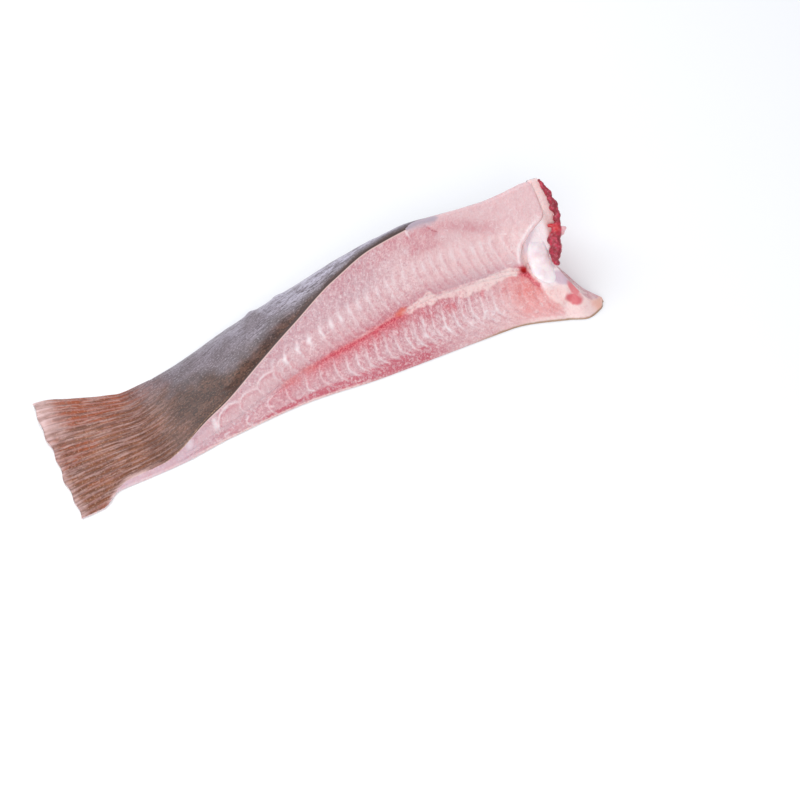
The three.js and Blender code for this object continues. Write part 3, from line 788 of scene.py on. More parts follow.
# %% White walls and cream membranes
def white_and_cream(f, walls_up, walls_down, band, thread, spots, orange):
    """White walls and membranes, and the cream of the belly line, the foot and the hollow."""
    is_up = f.over > 0
    scrap_edge = bell(f.at - 287.6 - 20 * (1 - f.up) ** 1.3, 0.7) * smooth(0.8, 0.92, f.up)
    scrap_edge = 0.7 * scrap_edge * between(f.at, 283, 287, 292, 300)
    white = np.where(is_up, walls_up + scrap_edge, walls_down) * f.flesh
    hem = bell(f.u - RIM + 2.0 + 0.6 * f.wander, 1.5) * between(f.z, 26, 30, 47, 54)
    white = white + hem * mix(0.55, 0.9, f.patchy)
    up_the_face = f.z * math.hypot(1, FACE_LEAN)
    belly_line = smooth(2.2, 1.0, up_the_face) * fade(30, 45, f.v)
    belly_line = belly_line * mix(1, mix(0.25, 1, smooth(330, 360, f.at)), smooth(215, 235, f.at))
    foot_line = smooth(5.5, 3.5, up_the_face) * smooth(340, 362, f.at) * 0.7
    cream = np.clip(0.92 * band + 0.5 * thread * (1 - orange) + 0.8 * belly_line + foot_line, 0, 1)
    return white, np.clip(cream + (1 - f.flesh) * 0.8 * (1 - spots), 0, 1)


# %% Everything on the cut face, and its relief
SEGMENT_SWELL, WALL_PROUD, BAND_PROUD = 0.3, 0.2, 0.45
PIT_DEPTH, FOLD_DEPTH, HOLLOW_RISE = 1.5, 0.7, 1.6


def face_marks(points, u):
    """The marks on the cut face, from the points' places, and its relief in mm."""
    f = FacePlaces(points, u)
    is_up = f.over > 0
    walls_up, granular, bend_up, off_up, beside = upper_walls(f)
    walls_down, shade, bend_down, off_down = lower_walls(f)
    red, orange, pit, red_line = blood_marks(f)
    band, thread, from_plate, spots, film, blush = end_marks(f)
    white, cream = white_and_cream(f, walls_up, walls_down, band, thread, spots, orange)
    fold, crease, rosy = folds_and_pinks(f, beside, shade)
    gristle = smooth(11.5, 7, from_plate + 1.5 * f.wander) * smooth(15, 19, f.z)
    # Painted highlights: two glints of the wet flesh, added to the white mark.
    glints = sum(bright * oval(f.at - glint_at, f.up - glint_up, long, high, 0.6)
                 for glint_at, glint_up, long, high, bright in GLINTS)
    marks = {"white": white + glints, "rosy": rosy, "cream": cream, "red": red, "orange": orange,
             "blood": pit, "spots": spots, "gristle": gristle * (1 - f.flesh) * (1 - spots),
             "granular": granular * is_up, "salmon": salmon_flesh(f, band, blush)}
    marks = {**marks, **texture_marks(f, granular), **film_marks(f, film)}
    marks = {name: np.clip(value, 0, 1) for name, value in marks.items()}

    swell_up = mix(0.7, 0.25, f.far) * smooth(0, 3, np.abs(off_up))
    swelling = np.where(is_up, swell_up, smooth(0, 3, np.abs(off_down)))
    relief = SEGMENT_SWELL * swelling * f.flesh + WALL_PROUD * white + 0.14 * f.wander
    relief = relief - FOLD_DEPTH * fold - 0.3 * crease - PIT_DEPTH * pit - 0.4 * red_line
    relief = relief + 0.3 * spots + 0.07 * lumps(points, 1.1, 4) + BAND_PROUD * band
    relief = relief + HOLLOW_RISE * smooth(14, 8.5, from_plate) * (1 - f.flesh)
    along_fibres = np.where(is_up, f.at - bend_up, f.at - bend_down + 0.3 * f.z)
    marks["face_place"] = np.dstack([along_fibres, f.z + 0 * f.at, f.v]) * MM
    return marks, relief


# %% [markdown]
# ## Raw fish flesh
# Raw white fish muscle is half clear: light goes a few millimetres into it and comes back
# redder, which makes it look soft and wet, so subsurface scattering carries most of the look.
# The marks on the mesh mix the pinks, the white walls, the cream membranes and the blood, and
# a fine grain of a millimetre or so stands for the cut muscle fibres.

# %% Flesh finish
MEMBRANE_COLOURS = {
    "gristle": "#f3e4e6", "lilac": "#b3a3af", "film": "#d3b9c5", "tip": "#e8a68e",
    "spots": "#d6646c", "rim_line": "#cf9ea3", "ochre": "#a9876c", "blood": "#b00f16",
}


def flesh_finish(name):
    made = Finish(name, Roughness=0.4, Subsurface_Weight=0.3, Subsurface_Scale=0.0016,
                  Coat_Weight=0.35, Coat_Roughness=0.2, IOR=1.38)
    made.surface.inputs["Subsurface Radius"].default_value = (1.0, 0.42, 0.36)
    spot = made.node("TexCoord").outputs["Object"]
    along_fibres = made.place("face_place")
    grainy, feather = made.mark("grainy"), made.mark("feather")
    pink = made.blend(made.mark("pale"), linear("#cda5ab"), linear("#e8c5c5"))
    pink = made.tint(pink, "#c19ba3", made.times(made.mark("granular"), 0.6))
    pink = made.tint(pink, "#c46472", made.mark("rosy"))
    pink = made.tint(pink, "#e08480", made.mark("salmon"))
    flecks = made.ramp(made.noise(spot, 2.2, 3), 0.47, 0.66, 0, 0.42)
    pink = made.tint(pink, "#ecd5d7", made.times(flecks, grainy))
    clots = made.ramp(made.noise(spot, 2.6, 3, (1, 1, 1), 0.6), 0.5, 0.68, 0, 0.38)
    pink = made.tint(pink, "#b96f7c", made.times(clots, grainy))
    swirls = made.hairs(made.noise(spot, 9, 1, (1, 1, 1), 1.8), 0.022)
    swirls = made.times(swirls, made.ramp(made.noise(spot, 6, 1), 0.4, 0.6, 0, 0.4))
    pink = made.tint(pink, "#f4e4e4", swirls)
    fibres = made.ramp(made.noise(along_fibres, 1.5, 4, (1, 2.4, 2.4), 1.2), 0.48, 0.64, 0, 0.8)
    pink = made.tint(pink, "#efdadc", made.times(fibres, feather))
    threads = made.ramp(made.noise(along_fibres, 1.7, 3, (1, 2.2, 2.2), 1.2), 0.52, 0.66, 0, 0.6)
    pink = made.tint(pink, "#bf6b79", made.times(threads, feather))
    grit = made.noise(spot, 1.2, 3)
    in_patches = made.ramp(made.noise(spot, 8, 2), 0.38, 0.62, 0.3, 1)
    gritty = made.times(in_patches, made.ramp(grainy, 0, 1, 0.35, 1))
    pink = made.tint(pink, "#f3e2e1", made.times(made.ramp(grit, 0.53, 0.68, 0, 0.42), gritty))
    pink = made.tint(pink, "#bb727d", made.times(made.ramp(grit, 0.46, 0.33, 0, 0.34), gritty))
    # White walls and membranes, and the painted highlights that share the white mark.
    pink = made.tint(pink, "#f4e8e9", made.mark("white"))
    clotted = made.blend(made.ramp(grit, 0.44, 0.6), linear("#c53f50"), linear("#dd7078"))
    pink = made.blend(made.mark("red"), pink, clotted)
    pink = made.tint(pink, "#dd6a58", made.mark("orange"))
    broken = made.ramp(made.noise(spot, 2.0, 3), 0.36, 0.5, 0.55, 1)
    pink = made.tint(pink, "#f0d4d0", made.times(made.mark("cream"), broken))
    for mark, shade in MEMBRANE_COLOURS.items():
        pink = made.tint(pink, shade, made.mark(mark))
    made.colour(pink)
    made.bumps((made.noise(spot, 3.0, 2), 0.6, 0.35), (grit, 0.35, 0.55))
    return made


flesh = flesh_finish("raw_ray_muscle")
print("flesh nodes:", len(flesh.tree.nodes))

# %% [markdown]
# ## Stingray skin
# The upper skin is tough and nearly smooth, dark brown to grey, with fine lengthwise wrinkles
# and a grain of tiny specks. The cool sheen of its slime is painted into its colour as a lighter
# lilac grey, a painted reflection. Over the fin it thins out, and the rays show through as rusty
# streaks with lilac webs between them. One finish covers both, and marks for the place along the
# strip and across it drive the change. The belly skin is pale and plain, and the knife shows both
# layers of the dark skin at its cut edge, with painted shade in the dark one.

# %% Skin finish
def skin_finish(name):
    made = Finish(name, Roughness=0.45, Coat_Weight=0.25, Coat_Roughness=0.3, IOR=1.38)
    place = made.place("skin_place")
    grain = made.noise(place, 1.5, 4, (1.5, 1, 1))
    dots = made.noise(place, 1.15, 3, (1.3, 1, 1))
    mottle = made.noise(place, 4.5, 4, (2.2, 1, 1))
    patches = made.noise(place, 9, 4, (1.8, 1, 1))
    wrinkle = made.noise(place, 1.5, 3, (9, 1, 1))
    furrows = made.hairs(made.noise(place, 2.6, 1, (8, 1, 1), 0.3), 0.05)

    brown = made.blend(made.ramp(patches, 0.38, 0.62), linear("#4b2d22"), linear("#654437"))
    brown = made.tint(brown, "#3d2720", made.ramp(mottle, 0.48, 0.6, 0, 0.5))
    brown = made.tint(brown, "#35251d", made.ramp(grain, 0.49, 0.59, 0, 0.75))
    brown = made.tint(brown, "#94705c", made.ramp(dots, 0.55, 0.64, 0, 0.38))
    cool = made.blend(made.ramp(patches, 0.38, 0.62), linear("#67595c"), linear("#7c6e74"))
    # Painted reflection: the slime's sheen, painted as a lighter lilac grey.
    cool = made.tint(cool, "#bcb5c4", made.mark("painted_sheen"))
    cool = made.tint(cool, "#6a5c60", made.ramp(mottle, 0.5, 0.62, 0, 0.5))
    cool = made.tint(cool, "#5b4f55", made.ramp(wrinkle, 0.52, 0.68, 0, 0.5))
    cool = made.tint(cool, "#574a4f", made.ramp(grain, 0.51, 0.6, 0, 0.5))
    cool = made.tint(cool, "#463a3e", made.times(furrows, made.mark("furrowed")))
    cool = made.tint(cool, "#b3a9b2", made.ramp(dots, 0.54, 0.64, 0, 0.4))
    back = made.blend(made.mark("cool"), brown, cool)
    back = made.tint(back, "#4b3e40", made.mark("dark_edge"))

    streak = made.noise(place, 2.0, 4, (10, 1, 1))
    lines = made.noise(place, 1.8, 4, (10, 1, 1))
    broad = made.noise(place, 15, 2, (1.6, 1, 1))
    fin = made.blend(made.ramp(broad, 0.38, 0.62), linear("#7c4528"), linear("#955d40"))
    fin = made.tint(fin, "#9a4a26", made.mark("rust"))
    fin = made.tint(fin, "#ac8281", made.times(made.mark("web"), 0.7))
    fin = made.tint(fin, "#61392a", made.ramp(streak, 0.49, 0.58, 0, 0.62))
    fin = made.tint(fin, "#c4a09a", made.ramp(lines, 0.52, 0.62, 0, 0.5))
    fin = made.tint(fin, "#5a3826", made.ramp(grain, 0.51, 0.6, 0, 0.4))
    fin = made.tint(fin, "#c79d88", made.ramp(dots, 0.55, 0.64, 0, 0.35))
    frayed = made.times(made.mark("margin"), made.ramp(streak, 0.38, 0.6, 1, 0.45))
    fin = made.tint(fin, "#e4c3c0", frayed)
    both = made.blend(made.mark("fin"), back, fin)
    golden = made.times(made.mark("gold"), made.ramp(dots, 0.42, 0.56, 1, 0.25))
    made.colour(made.tint(both, "#c9a384", golden))
    made.bumps((wrinkle, 0.5, 0.5), (grain, 0.4, 0.7), (mottle, 1.0, 0.35), (patches, 1.2, 0.3))
    return made


skin = skin_finish("slimy_ray_skin")
print("skin nodes:", len(skin.tree.nodes))


# %% Finishes for the skin's cut edge and the belly skin
def edge_finish(name):
    """The skin's cut edge: dark pigment with painted shade above, pale dermis below."""
    made = Finish(name, Roughness=0.4, Coat_Weight=0.3, Coat_Roughness=0.2)
    # Dark at the top of the cut edge: the skin's pigment, with painted shade on it.
    deep = made.ramp(made.mark("skin_depth"), 0.35, 0.7)
    made.colour(made.blend(deep, linear("#4b3934"), linear("#e0bdb8")))
    return made


def belly_finish(name):
    """The pale belly skin, with the back skin's pigment running into it at the leading edge."""
    made = Finish(name, Roughness=0.4, Coat_Weight=0.3, Coat_Roughness=0.25, Subsurface_Weight=0.2,
                  Subsurface_Scale=0.002)
    spot = made.node("TexCoord").outputs["Object"]
    clouds = made.ramp(made.noise(spot, 14, 4), 0.3, 0.75)
    shade = made.blend(clouds, linear("#e6d9d4"), linear("#d8bdbb"))
    shade = made.tint(shade, "#bd9696", made.ramp(made.noise(spot, 1.6, 2), 0.55, 0.7, 0, 0.3))
    ragged = made.ramp(made.noise(spot, 2.5, 3), 0.34, 0.56, 1, 0.6)
    made.colour(made.tint(shade, "#5d5052", made.times(made.mark("pigment"), ragged)))
    made.bumps((made.noise(spot, 1.5, 2), 0.3, 0.4), (made.noise(spot, 9, 2), 1.0, 0.3))
    return made


skin_edge = edge_finish("cut_skin_edge")
belly_skin = belly_finish("pale_belly_skin")
print("edge and belly nodes:", len(skin_edge.tree.nodes), len(belly_skin.tree.nodes))

# %% [markdown]
# ## Where the skin changes
# Near the fin the back is brown, and further on it turns grey, first at the leading edge and
# then up to the ridge. The reflection of the slime, between that border and the crest of the
# back, is painted as a lighter lilac sheen. Over the fin the rays fan out from the muscles, so
# the pattern is counted across the fan.

# %% The marks on the skin
FAN_WIDTH = 80.5
FAN_SLOPE = 0.18
grey_from = curve([40, 80], [65, 64], [73, 57], [87, 50], [101, 38], [116, 29], [131, 18],
                  [145, 11.5], [161, 7.4], [178, 5], [196, 3], [214, 1.8], [250, 1.2])
border_softness = curve([60, 16], [150, 9], [200, 3], [240, 1])
painted_sheen_width = curve([150, 16], [215, 9], [260, 4.5])
crest = curve([86, 73], [118, 62], [151, 52], [176, 40], [202, 31], [221, 23.6], [240, 17.5],
              [259, 11], [277, 8.9], [290, 5.7])


def ray_place(u, v):
    """The place across the fin, along lines that fan out as the rays do."""
    low = FAN_SLOPE * u
    return FAN_WIDTH * (v - low) / (back_edge(u) - low)


def skin_marks(points, behind, across):
    """Marks for the skin and the fin: mm behind the ridge, and the place across the rays."""
    at, v = points[..., 0], points[..., 1]
    wander = lumps(points, 14, 5) + 0.4 * lumps(points, 4, 22)
    fin = fade(52, 104, at + 10 * wander)
    soft = border_softness(at)
    past = behind - grey_from(at) + 0.8 * soft * wander
    cool = smooth(-soft, soft, past)
    # Painted reflection of the slime: lighter lilac grey past the grey border up to the crest, less
    # in the dent.
    painted_sheen = smooth(0, 1, past / painted_sheen_width(at)) * smooth(120, 235, at)
    painted_sheen = painted_sheen + 0.3 * smooth(8, 34, past) * smooth(70, 110, at)
    painted_sheen = painted_sheen * (1 - 0.85 * smooth(3, 18, behind - crest(at) + 3 * wander))
    painted_sheen = painted_sheen * fade(268, 330, at + 8 * wander)
    painted_sheen = painted_sheen * (1 - 0.75 * oval(at - 165 + 3 * wander, behind - 30, 7, 11, 0.6))
    furrowed = 0.75 * between(at, 125, 165, 225, 262) * (1 - 0.6 * smooth(14, 30, behind))
    dark_edge = 0.75 * smooth(1.6, 0.4, behind + 0.6 * wander) * smooth(150, 195, at)
    dark_rim = 0.45 * smooth(5.5, 2, behind + 0.7 * wander) * smooth(240, 255, at)
    gold = smooth(1.1, 0.3, behind + 0.3 * wander) * between(at, 62, 68, 112, 132)
    waves = np.sin(2 * np.pi * across / RAY_SPACING + 0.8 * lumps(points, (30, 8, 8), 6))
    rust = smooth(70, 90, v + 8 * wander) * smooth(6, 24, at)
    rust = rust + 0.75 * smooth(-0.1, 0.5, lumps(points, (22, 11, 11), 7))
    margin = 0.5 * fade(0, 6, at - 1 + 3 * wander)
    margin = margin + 0.7 * fade(6, 34, at + 10 * wander) * smooth(56, 90, v)
    marks = {"fin": fin, "cool": cool, "painted_sheen": painted_sheen, "furrowed": furrowed,
             "dark_edge": np.maximum(dark_edge, dark_rim), "web": 0.7 * smooth(0.1, 0.8, waves),
             "rust": rust, "margin": margin, "gold": gold}
    marks = {name: np.clip(value, 0, 1) for name, value in marks.items()}
    marks["skin_place"] = np.dstack([at, across, 0 * at]) * MM
    return marks


print("ribs across the fan:", int(FAN_WIDTH / RAY_SPACING))

# %% [markdown]
# ## The upper muscle under the dark skin
# The largest piece: the cut face from the ray layer up to the skin, the cut edge of the skin,
# the skin over the back, and the side that lies on the rays. The skin is modelled as a lip
# that stands a little proud of the flesh, because the real one is tougher than the muscle and
# keeps its edge under the knife. It ends on top of the bare roll near the thick end.

# %% Sections of the upper muscle
SKIN_THICK = 1.0
LIP = 0.2
FACE_COLUMNS, SKIN_COLUMNS, UNDER_COLUMNS = 84, 76, 8

u = rows_between((FLESH_START, 210, 0.5), (210, END_ZONE, 0.8), (END_ZONE, END_WALL, 0.62))
top, rays = height_of(u), ray_height(u)
skin_here = fade(284, 300, u) * smooth(FLESH_START, FLESH_START + 18, u)
flesh_top = top - SKIN_THICK * skin_here
face = face_point(u, mix(rays + HALF_LAYER, flesh_top, np.linspace(0, 1, FACE_COLUMNS)))
depth = np.linspace(1, 0, 4)
lip = face_point(u, mix(top, flesh_top, depth))
lip[..., 0] -= LIP * skin_here * (depth > 0)
end = skin_at_height(u, RAY_HEIGHT_BACK * top + HALF_LAYER)
over = skin_point(u, np.linspace(0, 1, SKIN_COLUMNS + 1)[1:] * end)
under = layer_line(u, HALF_LAYER, np.linspace(1, 0, UNDER_COLUMNS + 1)[None, 1:] + 0 * u)
section = np.concatenate([face, lip, over, under], axis=1)
points = in_space(u, section)
print("upper muscle:", len(u), "sections of", section.shape[1], "points")

# %% [markdown]
# ## The back's relief
# A relaxed muscle swells in its middle, and the skin over it keeps wrinkles and a few dents.
# They were judged from the picture and are set by place: along the strip, and behind the ridge.

# %% Marks and relief of the upper muscle
SOFT_DENTS, FINE_WRINKLES = 0.5, 0.18
SWELLS = ((170, 44, 4, 1.5), (190, 33, 4, 1.1), (264, 9, 4, 0.5), (165, 30, 8, -1.2))
back_swell = curve([118, 0], [144, 1.9], [164, 2.3], [182, 1.5], [198, 0.3], [215, -0.3],
                   [262, -0.5], [276, 0.6], [288, 1.2], [300, 0.4])

at = points[..., 0]
column = np.arange(section.shape[1])
marks, relief = face_marks(points, u)
lip_end = FACE_COLUMNS + 3
from_ridge = walked(section) - walked(section)[:, lip_end : lip_end + 1]
behind = np.maximum(0, from_ridge)
ridge_across = ray_place(u, section[:, lip_end : lip_end + 1, 0])
skinned = skin_marks(points, behind, behind + ridge_across)
on_skin = (column > lip_end) & (column <= lip_end + SKIN_COLUMNS)
skin_relief = back_swell(at) + SOFT_DENTS * lumps(points, (30, 9, 9), 8)
skin_relief = skin_relief + FINE_WRINKLES * lumps(points, (12, 2.4, 2.4), 9)
for swell_at, swell_behind, wide, high in SWELLS:
    away = np.hypot(at - swell_at, 0.7 * (behind - swell_behind))
    skin_relief = skin_relief + high * bell(away, wide)
last_skin = lip_end + SKIN_COLUMNS - 1
to_low_edge = from_ridge[:, last_skin : last_skin + 1] - from_ridge
skin_relief = skin_relief * smooth(0, 6, to_low_edge) * smooth(0, 8, from_ridge)
skin_relief = skin_relief * smooth(FLESH_START, FLESH_START + 12, u)
face_relief = relief * smooth(0, 3, column) * smooth(FACE_COLUMNS, FACE_COLUMNS - 4, column)
relief = np.where(column < FACE_COLUMNS, face_relief, np.where(on_skin, skin_relief, 0))
points = raised(points, relief)
print("relief from", round(float(relief.min()), 1), "to", round(float(relief.max()), 1), "mm")

# %% The body of the upper muscle
ON_FLESH, ON_SKIN, ON_EDGE = 0, 1, 2
BARE_FROM = 288

skin_depth = np.zeros_like(relief)
skin_depth[:, FACE_COLUMNS : FACE_COLUMNS + 4] = depth
bare_edge = curve([284, 0], [300, 3], [330, 5], [397, 6])(at) + 1.2 * lumps(points, 6, 10)
finish_of = np.full(points.shape[:2], ON_FLESH)
finish_of[:, FACE_COLUMNS:lip_end] = ON_EDGE
finish_of[:, lip_end : lip_end + SKIN_COLUMNS + 2] = ON_SKIN
finish_of[(from_ridge < bare_edge) & (at > BARE_FROM)] = ON_FLESH
marks = {**marks, **skinned, "skin_depth": skin_depth}
upper = close_up("upper_flesh_and_skin", u, points, marks, finish_of, [flesh, skin, skin_edge],
                 cut=True)
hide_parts("upper_muscle")

# %% [markdown]
# ## The lower muscle on the belly skin
# The lower muscle is made in the same way. Its floor is the pale belly skin, which shows from
# the side as a thin cream line under the flesh and wraps a little way up the leading edge.

# %% Lower muscle
LOW_FACE_COLUMNS, BACK_COLUMNS, FLOOR_COLUMNS = 58, 16, 26

low_face = face_point(u, (rays - HALF_LAYER) * np.linspace(0, 1, LOW_FACE_COLUMNS))
over_rays = layer_line(u, -HALF_LAYER, np.linspace(0, 1, UNDER_COLUMNS + 1)[None, 1:] + 0 * u)
start = skin_at_height(u, RAY_HEIGHT_BACK * top - HALF_LAYER)
low_back = skin_point(u, mix(start, 1.0, np.linspace(0, 1, BACK_COLUMNS + 1)[1:]))
across_floor = np.linspace(0, 1, FLOOR_COLUMNS + 1)[None, 1:, None]
belly = mix(low_back[:, -1:, :], low_face[:, :1, :], across_floor)
section = np.concatenate([low_face, over_rays, low_back, belly], axis=1)
points = in_space(u, section)
column = np.arange(section.shape[1])
marks, relief = face_marks(points, u)
faded = relief * smooth(0, 5, column) * smooth(LOW_FACE_COLUMNS, LOW_FACE_COLUMNS - 4, column)
points = raised(points, np.where(column < LOW_FACE_COLUMNS, faded, 0))
print("lower muscle:", len(u), "sections of", section.shape[1], "points")

# %% The body of the lower muscle
ON_BELLY = 1

back_seam = LOW_FACE_COLUMNS + UNDER_COLUMNS - 1
finish_of = np.full(points.shape[:2], ON_FLESH)
finish_of[:, back_seam - 1 :] = ON_BELLY
below_seam = section[:, back_seam : back_seam + 1, 1] - points[..., 2]
on_back = (column >= back_seam - 1) & (column <= back_seam + BACK_COLUMNS)
ragged_depth = 2.5 + 4 * lumps(points, (14, 5, 5), 33)
marks["pigment"] = on_back * smooth(1.5, -1.5, below_seam - ragged_depth)
lower = close_up("lower_flesh", u, points, marks, finish_of, [flesh, belly_skin], cut=True)
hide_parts("lower_muscle")

# %% [markdown]
# ## The ray layer between the muscles
# The flat layer of cartilage rays shows on the cut face as a thin line, blood-stained in the
# middle of the strip and cream towards the thick end. It is one thin closed band, whose far
# edge just shows in the skin of the back.

# %% Ray band
BAND_COLUMNS, DEPTH_STEPS = 5, 12

u_band = rows_between((FLESH_START - 10, END_ZONE, 0.9), (END_ZONE, END_WALL - 1, 0.8))
t_in = np.linspace(0, 1, DEPTH_STEPS)
edge_offsets = np.linspace(-HALF_LAYER, HALF_LAYER, BAND_COLUMNS)
front = face_point(u_band, ray_height(u_band) + edge_offsets)
top_side = layer_line(u_band, HALF_LAYER, t_in[None, 1:] + 0 * u_band)
low_side = layer_line(u_band, -HALF_LAYER, t_in[None, ::-1] + 0 * u_band)
points = in_space(u_band, np.concatenate([front, top_side, low_side], axis=1))
marks, relief = face_marks(points, u_band)
marks["pigment"] = 1 + 0 * relief
band_fade = np.zeros(points.shape[1])
band_fade[:BAND_COLUMNS] = np.sin(np.linspace(0, np.pi, BAND_COLUMNS))
points = raised(points, relief * band_fade)
far_edge = BAND_COLUMNS + DEPTH_STEPS - 1
finish_of = np.full(points.shape[:2], ON_FLESH)
finish_of[:, far_edge - 3 : far_edge + 3] = ON_BELLY
band = close_up("ray_band", u_band, points, marks, finish_of, [flesh, belly_skin])
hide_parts("ray_layer")

# %% [markdown]
# ## The ribbed fin
# Past the muscles the rays run on as a thin fin. Its ribs are real relief, 5.4 mm apart at the
# margin, with finer ridges between them. The front edge shows a strip of pale flesh where the
# knife went through, and the outer corner lifts off the board a little.

# %% Sections of the fin
RAY_RELIEF = 0.45
FIN_EDGE, FIN_CURL = 0.9, 2.2
TOP_COLUMNS, LOW_COLUMNS, FRONT_COLUMNS = 190, 40, 9

u_fin = rows_between((0, FLESH_START, 0.62))
t_fin = np.linspace(0, 1, TOP_COLUMNS)
from_skin = skin_point(u_fin, t_fin * 0.97)
spread = fade(26, 40, u_fin)
v_flat = mix(front_edge(u_fin), back_edge(u_fin), t_fin)
rounded = np.minimum(1, 0.5 + 6 * t_fin) * np.minimum(1, 0.5 + 6 * (1 - t_fin))
rounded = height_of(u_fin) * rounded
v_top = mix(from_skin[..., 0], v_flat, spread)
curl = FIN_CURL * smooth(60, 107, v_top) * fade(0, 60, u_fin)
ribs = RAY_RELIEF * np.sin(2 * np.pi * ray_place(u_fin, v_top) / RAY_SPACING)
ribs = ribs * fade(66, FLESH_START, u_fin)
z_top = np.maximum(FIN_EDGE, mix(from_skin[..., 1], rounded, spread) + ribs) + curl
upper_side = np.dstack([v_top, z_top])
v_low = mix(front_edge(u_fin), back_edge(u_fin), np.linspace(1, 0, LOW_COLUMNS))
low_curl = 0.9 * FIN_CURL * smooth(60, 107, v_low) * fade(0, 60, u_fin)
under_side = np.dstack([v_low, low_curl])
up_the_edge = np.linspace(0, 1, FRONT_COLUMNS)[None, 1:, None]
front_side = mix(under_side[:, -1:], upper_side[:, :1], up_the_edge)
section = np.concatenate([upper_side, under_side, front_side], axis=1)
points = in_space(u_fin, section)
print("fin:", len(u_fin), "sections of", section.shape[1], "points")

# %% The body of the fin
FIN_TOP, FIN_BELLY, FIN_FRONT = 0, 1, 2

column = np.arange(section.shape[1])
on_top = column < TOP_COLUMNS
behind = np.where(on_top, walked(section), 0)
skinned = skin_marks(points, behind, ray_place(u_fin, section[..., 0]))
flap_edge = smooth(3.5, 0.5, behind) * between(u_fin, 16, 26, 50, 62)
skinned["margin"] = np.maximum(skinned["margin"], 0.8 * flap_edge)
fine_ribs = 0.16 * lumps(points, (40, 1.5, 9), 12) + 0.12 * lumps(points, (14, 3, 9), 13)
fine_ribs = np.where(on_top, fine_ribs * smooth(0, 6, column), 0)
points = raised(points, fine_ribs * fade(70, FLESH_START, u_fin))
face_side = face_marks(points, u_fin)[0]
finish_of = np.full(points.shape[:2], FIN_TOP)
finish_of[:, TOP_COLUMNS - 1 : TOP_COLUMNS + LOW_COLUMNS] = FIN_BELLY
finish_of[:, TOP_COLUMNS + LOW_COLUMNS - 1 :] = FIN_FRONT
fin = close_up("ribbed_fin", u_fin, points, {**face_side, **skinned}, finish_of,
               [skin, belly_skin, flesh])
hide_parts("ray_layer")

# %% [markdown]
# ## The base cartilage
# The rays grow from a white cartilage plate in the hollow of the thick end. The scene takes a
# copy of its solid, remeshes it to even small facets, smooths it and gives it soft lumps. It
# is pressed flatter into the hollow, as it grows from the flesh and doesn't lie on it.

# %% A softened copy of a solid
def softened(node, name, voxel_mm, rounds):
    """A copy of a node's solid with even, smooth facets, which stands in for the node."""
    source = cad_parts[node]
    source = source if isinstance(source, bpy.types.Object) else bpy.data.objects[source]
    copy = bpy.data.objects.new(name, source.data.copy())
    bpy.context.collection.objects.link(copy)
    for key in [k for k in copy.keys()]:
        del copy[key]
    bpy.ops.object.select_all(action="DESELECT")
    bpy.context.view_layer.objects.active = copy
    copy.select_set(True)
    bpy.ops.object.mode_set(mode="EDIT")
    bpy.ops.mesh.select_all(action="SELECT")
    bpy.ops.mesh.remove_doubles(threshold=1e-5)
    bpy.ops.object.mode_set(mode="OBJECT")
    even_and_smooth(copy, voxel_mm, rounds)
    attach(copy, "root")
    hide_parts(node)
    return copy


# %% Even facets
def even_and_smooth(body, voxel_mm, rounds):
    """Remeshes the active object to even facets and smooths it in several rounds."""
    remesh = body.modifiers.new("even_facets", "REMESH")
    remesh.mode, remesh.voxel_size = "VOXEL", voxel_mm * MM
    bpy.ops.object.modifier_apply(modifier=remesh.name)
    softer = body.modifiers.new("softer", "SMOOTH")
    softer.factor, softer.iterations = 0.5, rounds
    bpy.ops.object.modifier_apply(modifier=softer.name)
    bpy.ops.object.shade_smooth()


# %% Moving and painting a mesh's points
def places_of(body):
    """The points of a mesh in mm, in the strip's own places."""
    flat = np.empty(len(body.data.vertices) * 3, np.float32)
    body.data.vertices.foreach_get("co", flat)
    return flat.reshape(-1, 3) / MM + ORIGIN


def move(body, by_mm):
    placed = places_of(body) - ORIGIN + by_mm
    body.data.vertices.foreach_set("co", (placed * MM).astype(np.float32).ravel())
    body.data.update()


def push_out(body, by_mm):
    """Moves each point along its own normal."""
    normals = np.empty(len(body.data.vertices) * 3, np.float32)
    body.data.vertices.foreach_get("normal", normals)
    move(body, normals.reshape(-1, 3) * by_mm[:, None])


def paint(body, mark, value):
    layer = body.data.attributes.new(mark, "FLOAT", "POINT")
    layer.data.foreach_set("value", np.clip(value, 0, 1).astype(np.float32))


# %% Cartilage
PLATE_VOXEL, PLATE_ROUNDS = 0.9, 8
HEAD_FROM = 38

toward_eye = np.array(VIEW_BACK)
cartilage = softened("base_cartilage", "base_cartilage_plate", PLATE_VOXEL, PLATE_ROUNDS)
spots = places_of(cartilage)
proud = (spots - (PLATE_FOOT + PLATE_HEAD) / 2) @ toward_eye
sunk = 0.5 * np.maximum(0, proud) + 0.7 * np.maximum(0, spots[:, 2] - HEAD_FROM)
move(cartilage, -sunk[:, None] * toward_eye)
push_out(cartilage, 0.2 + 0.5 * lumps(places_of(cartilage), 7, 14))
print("cartilage facets:", len(cartilage.data.polygons))

# %% [markdown]
# ## The dark tissue
# Beside the cartilage hangs a seam of dark red tissue, soft and lumpy, with a small pale flap
# and a bright red bit next to it. It is built as a chain of balls of different sizes, which
# grow together under one remeshed skin, because no smooth tube has such an uneven outline.

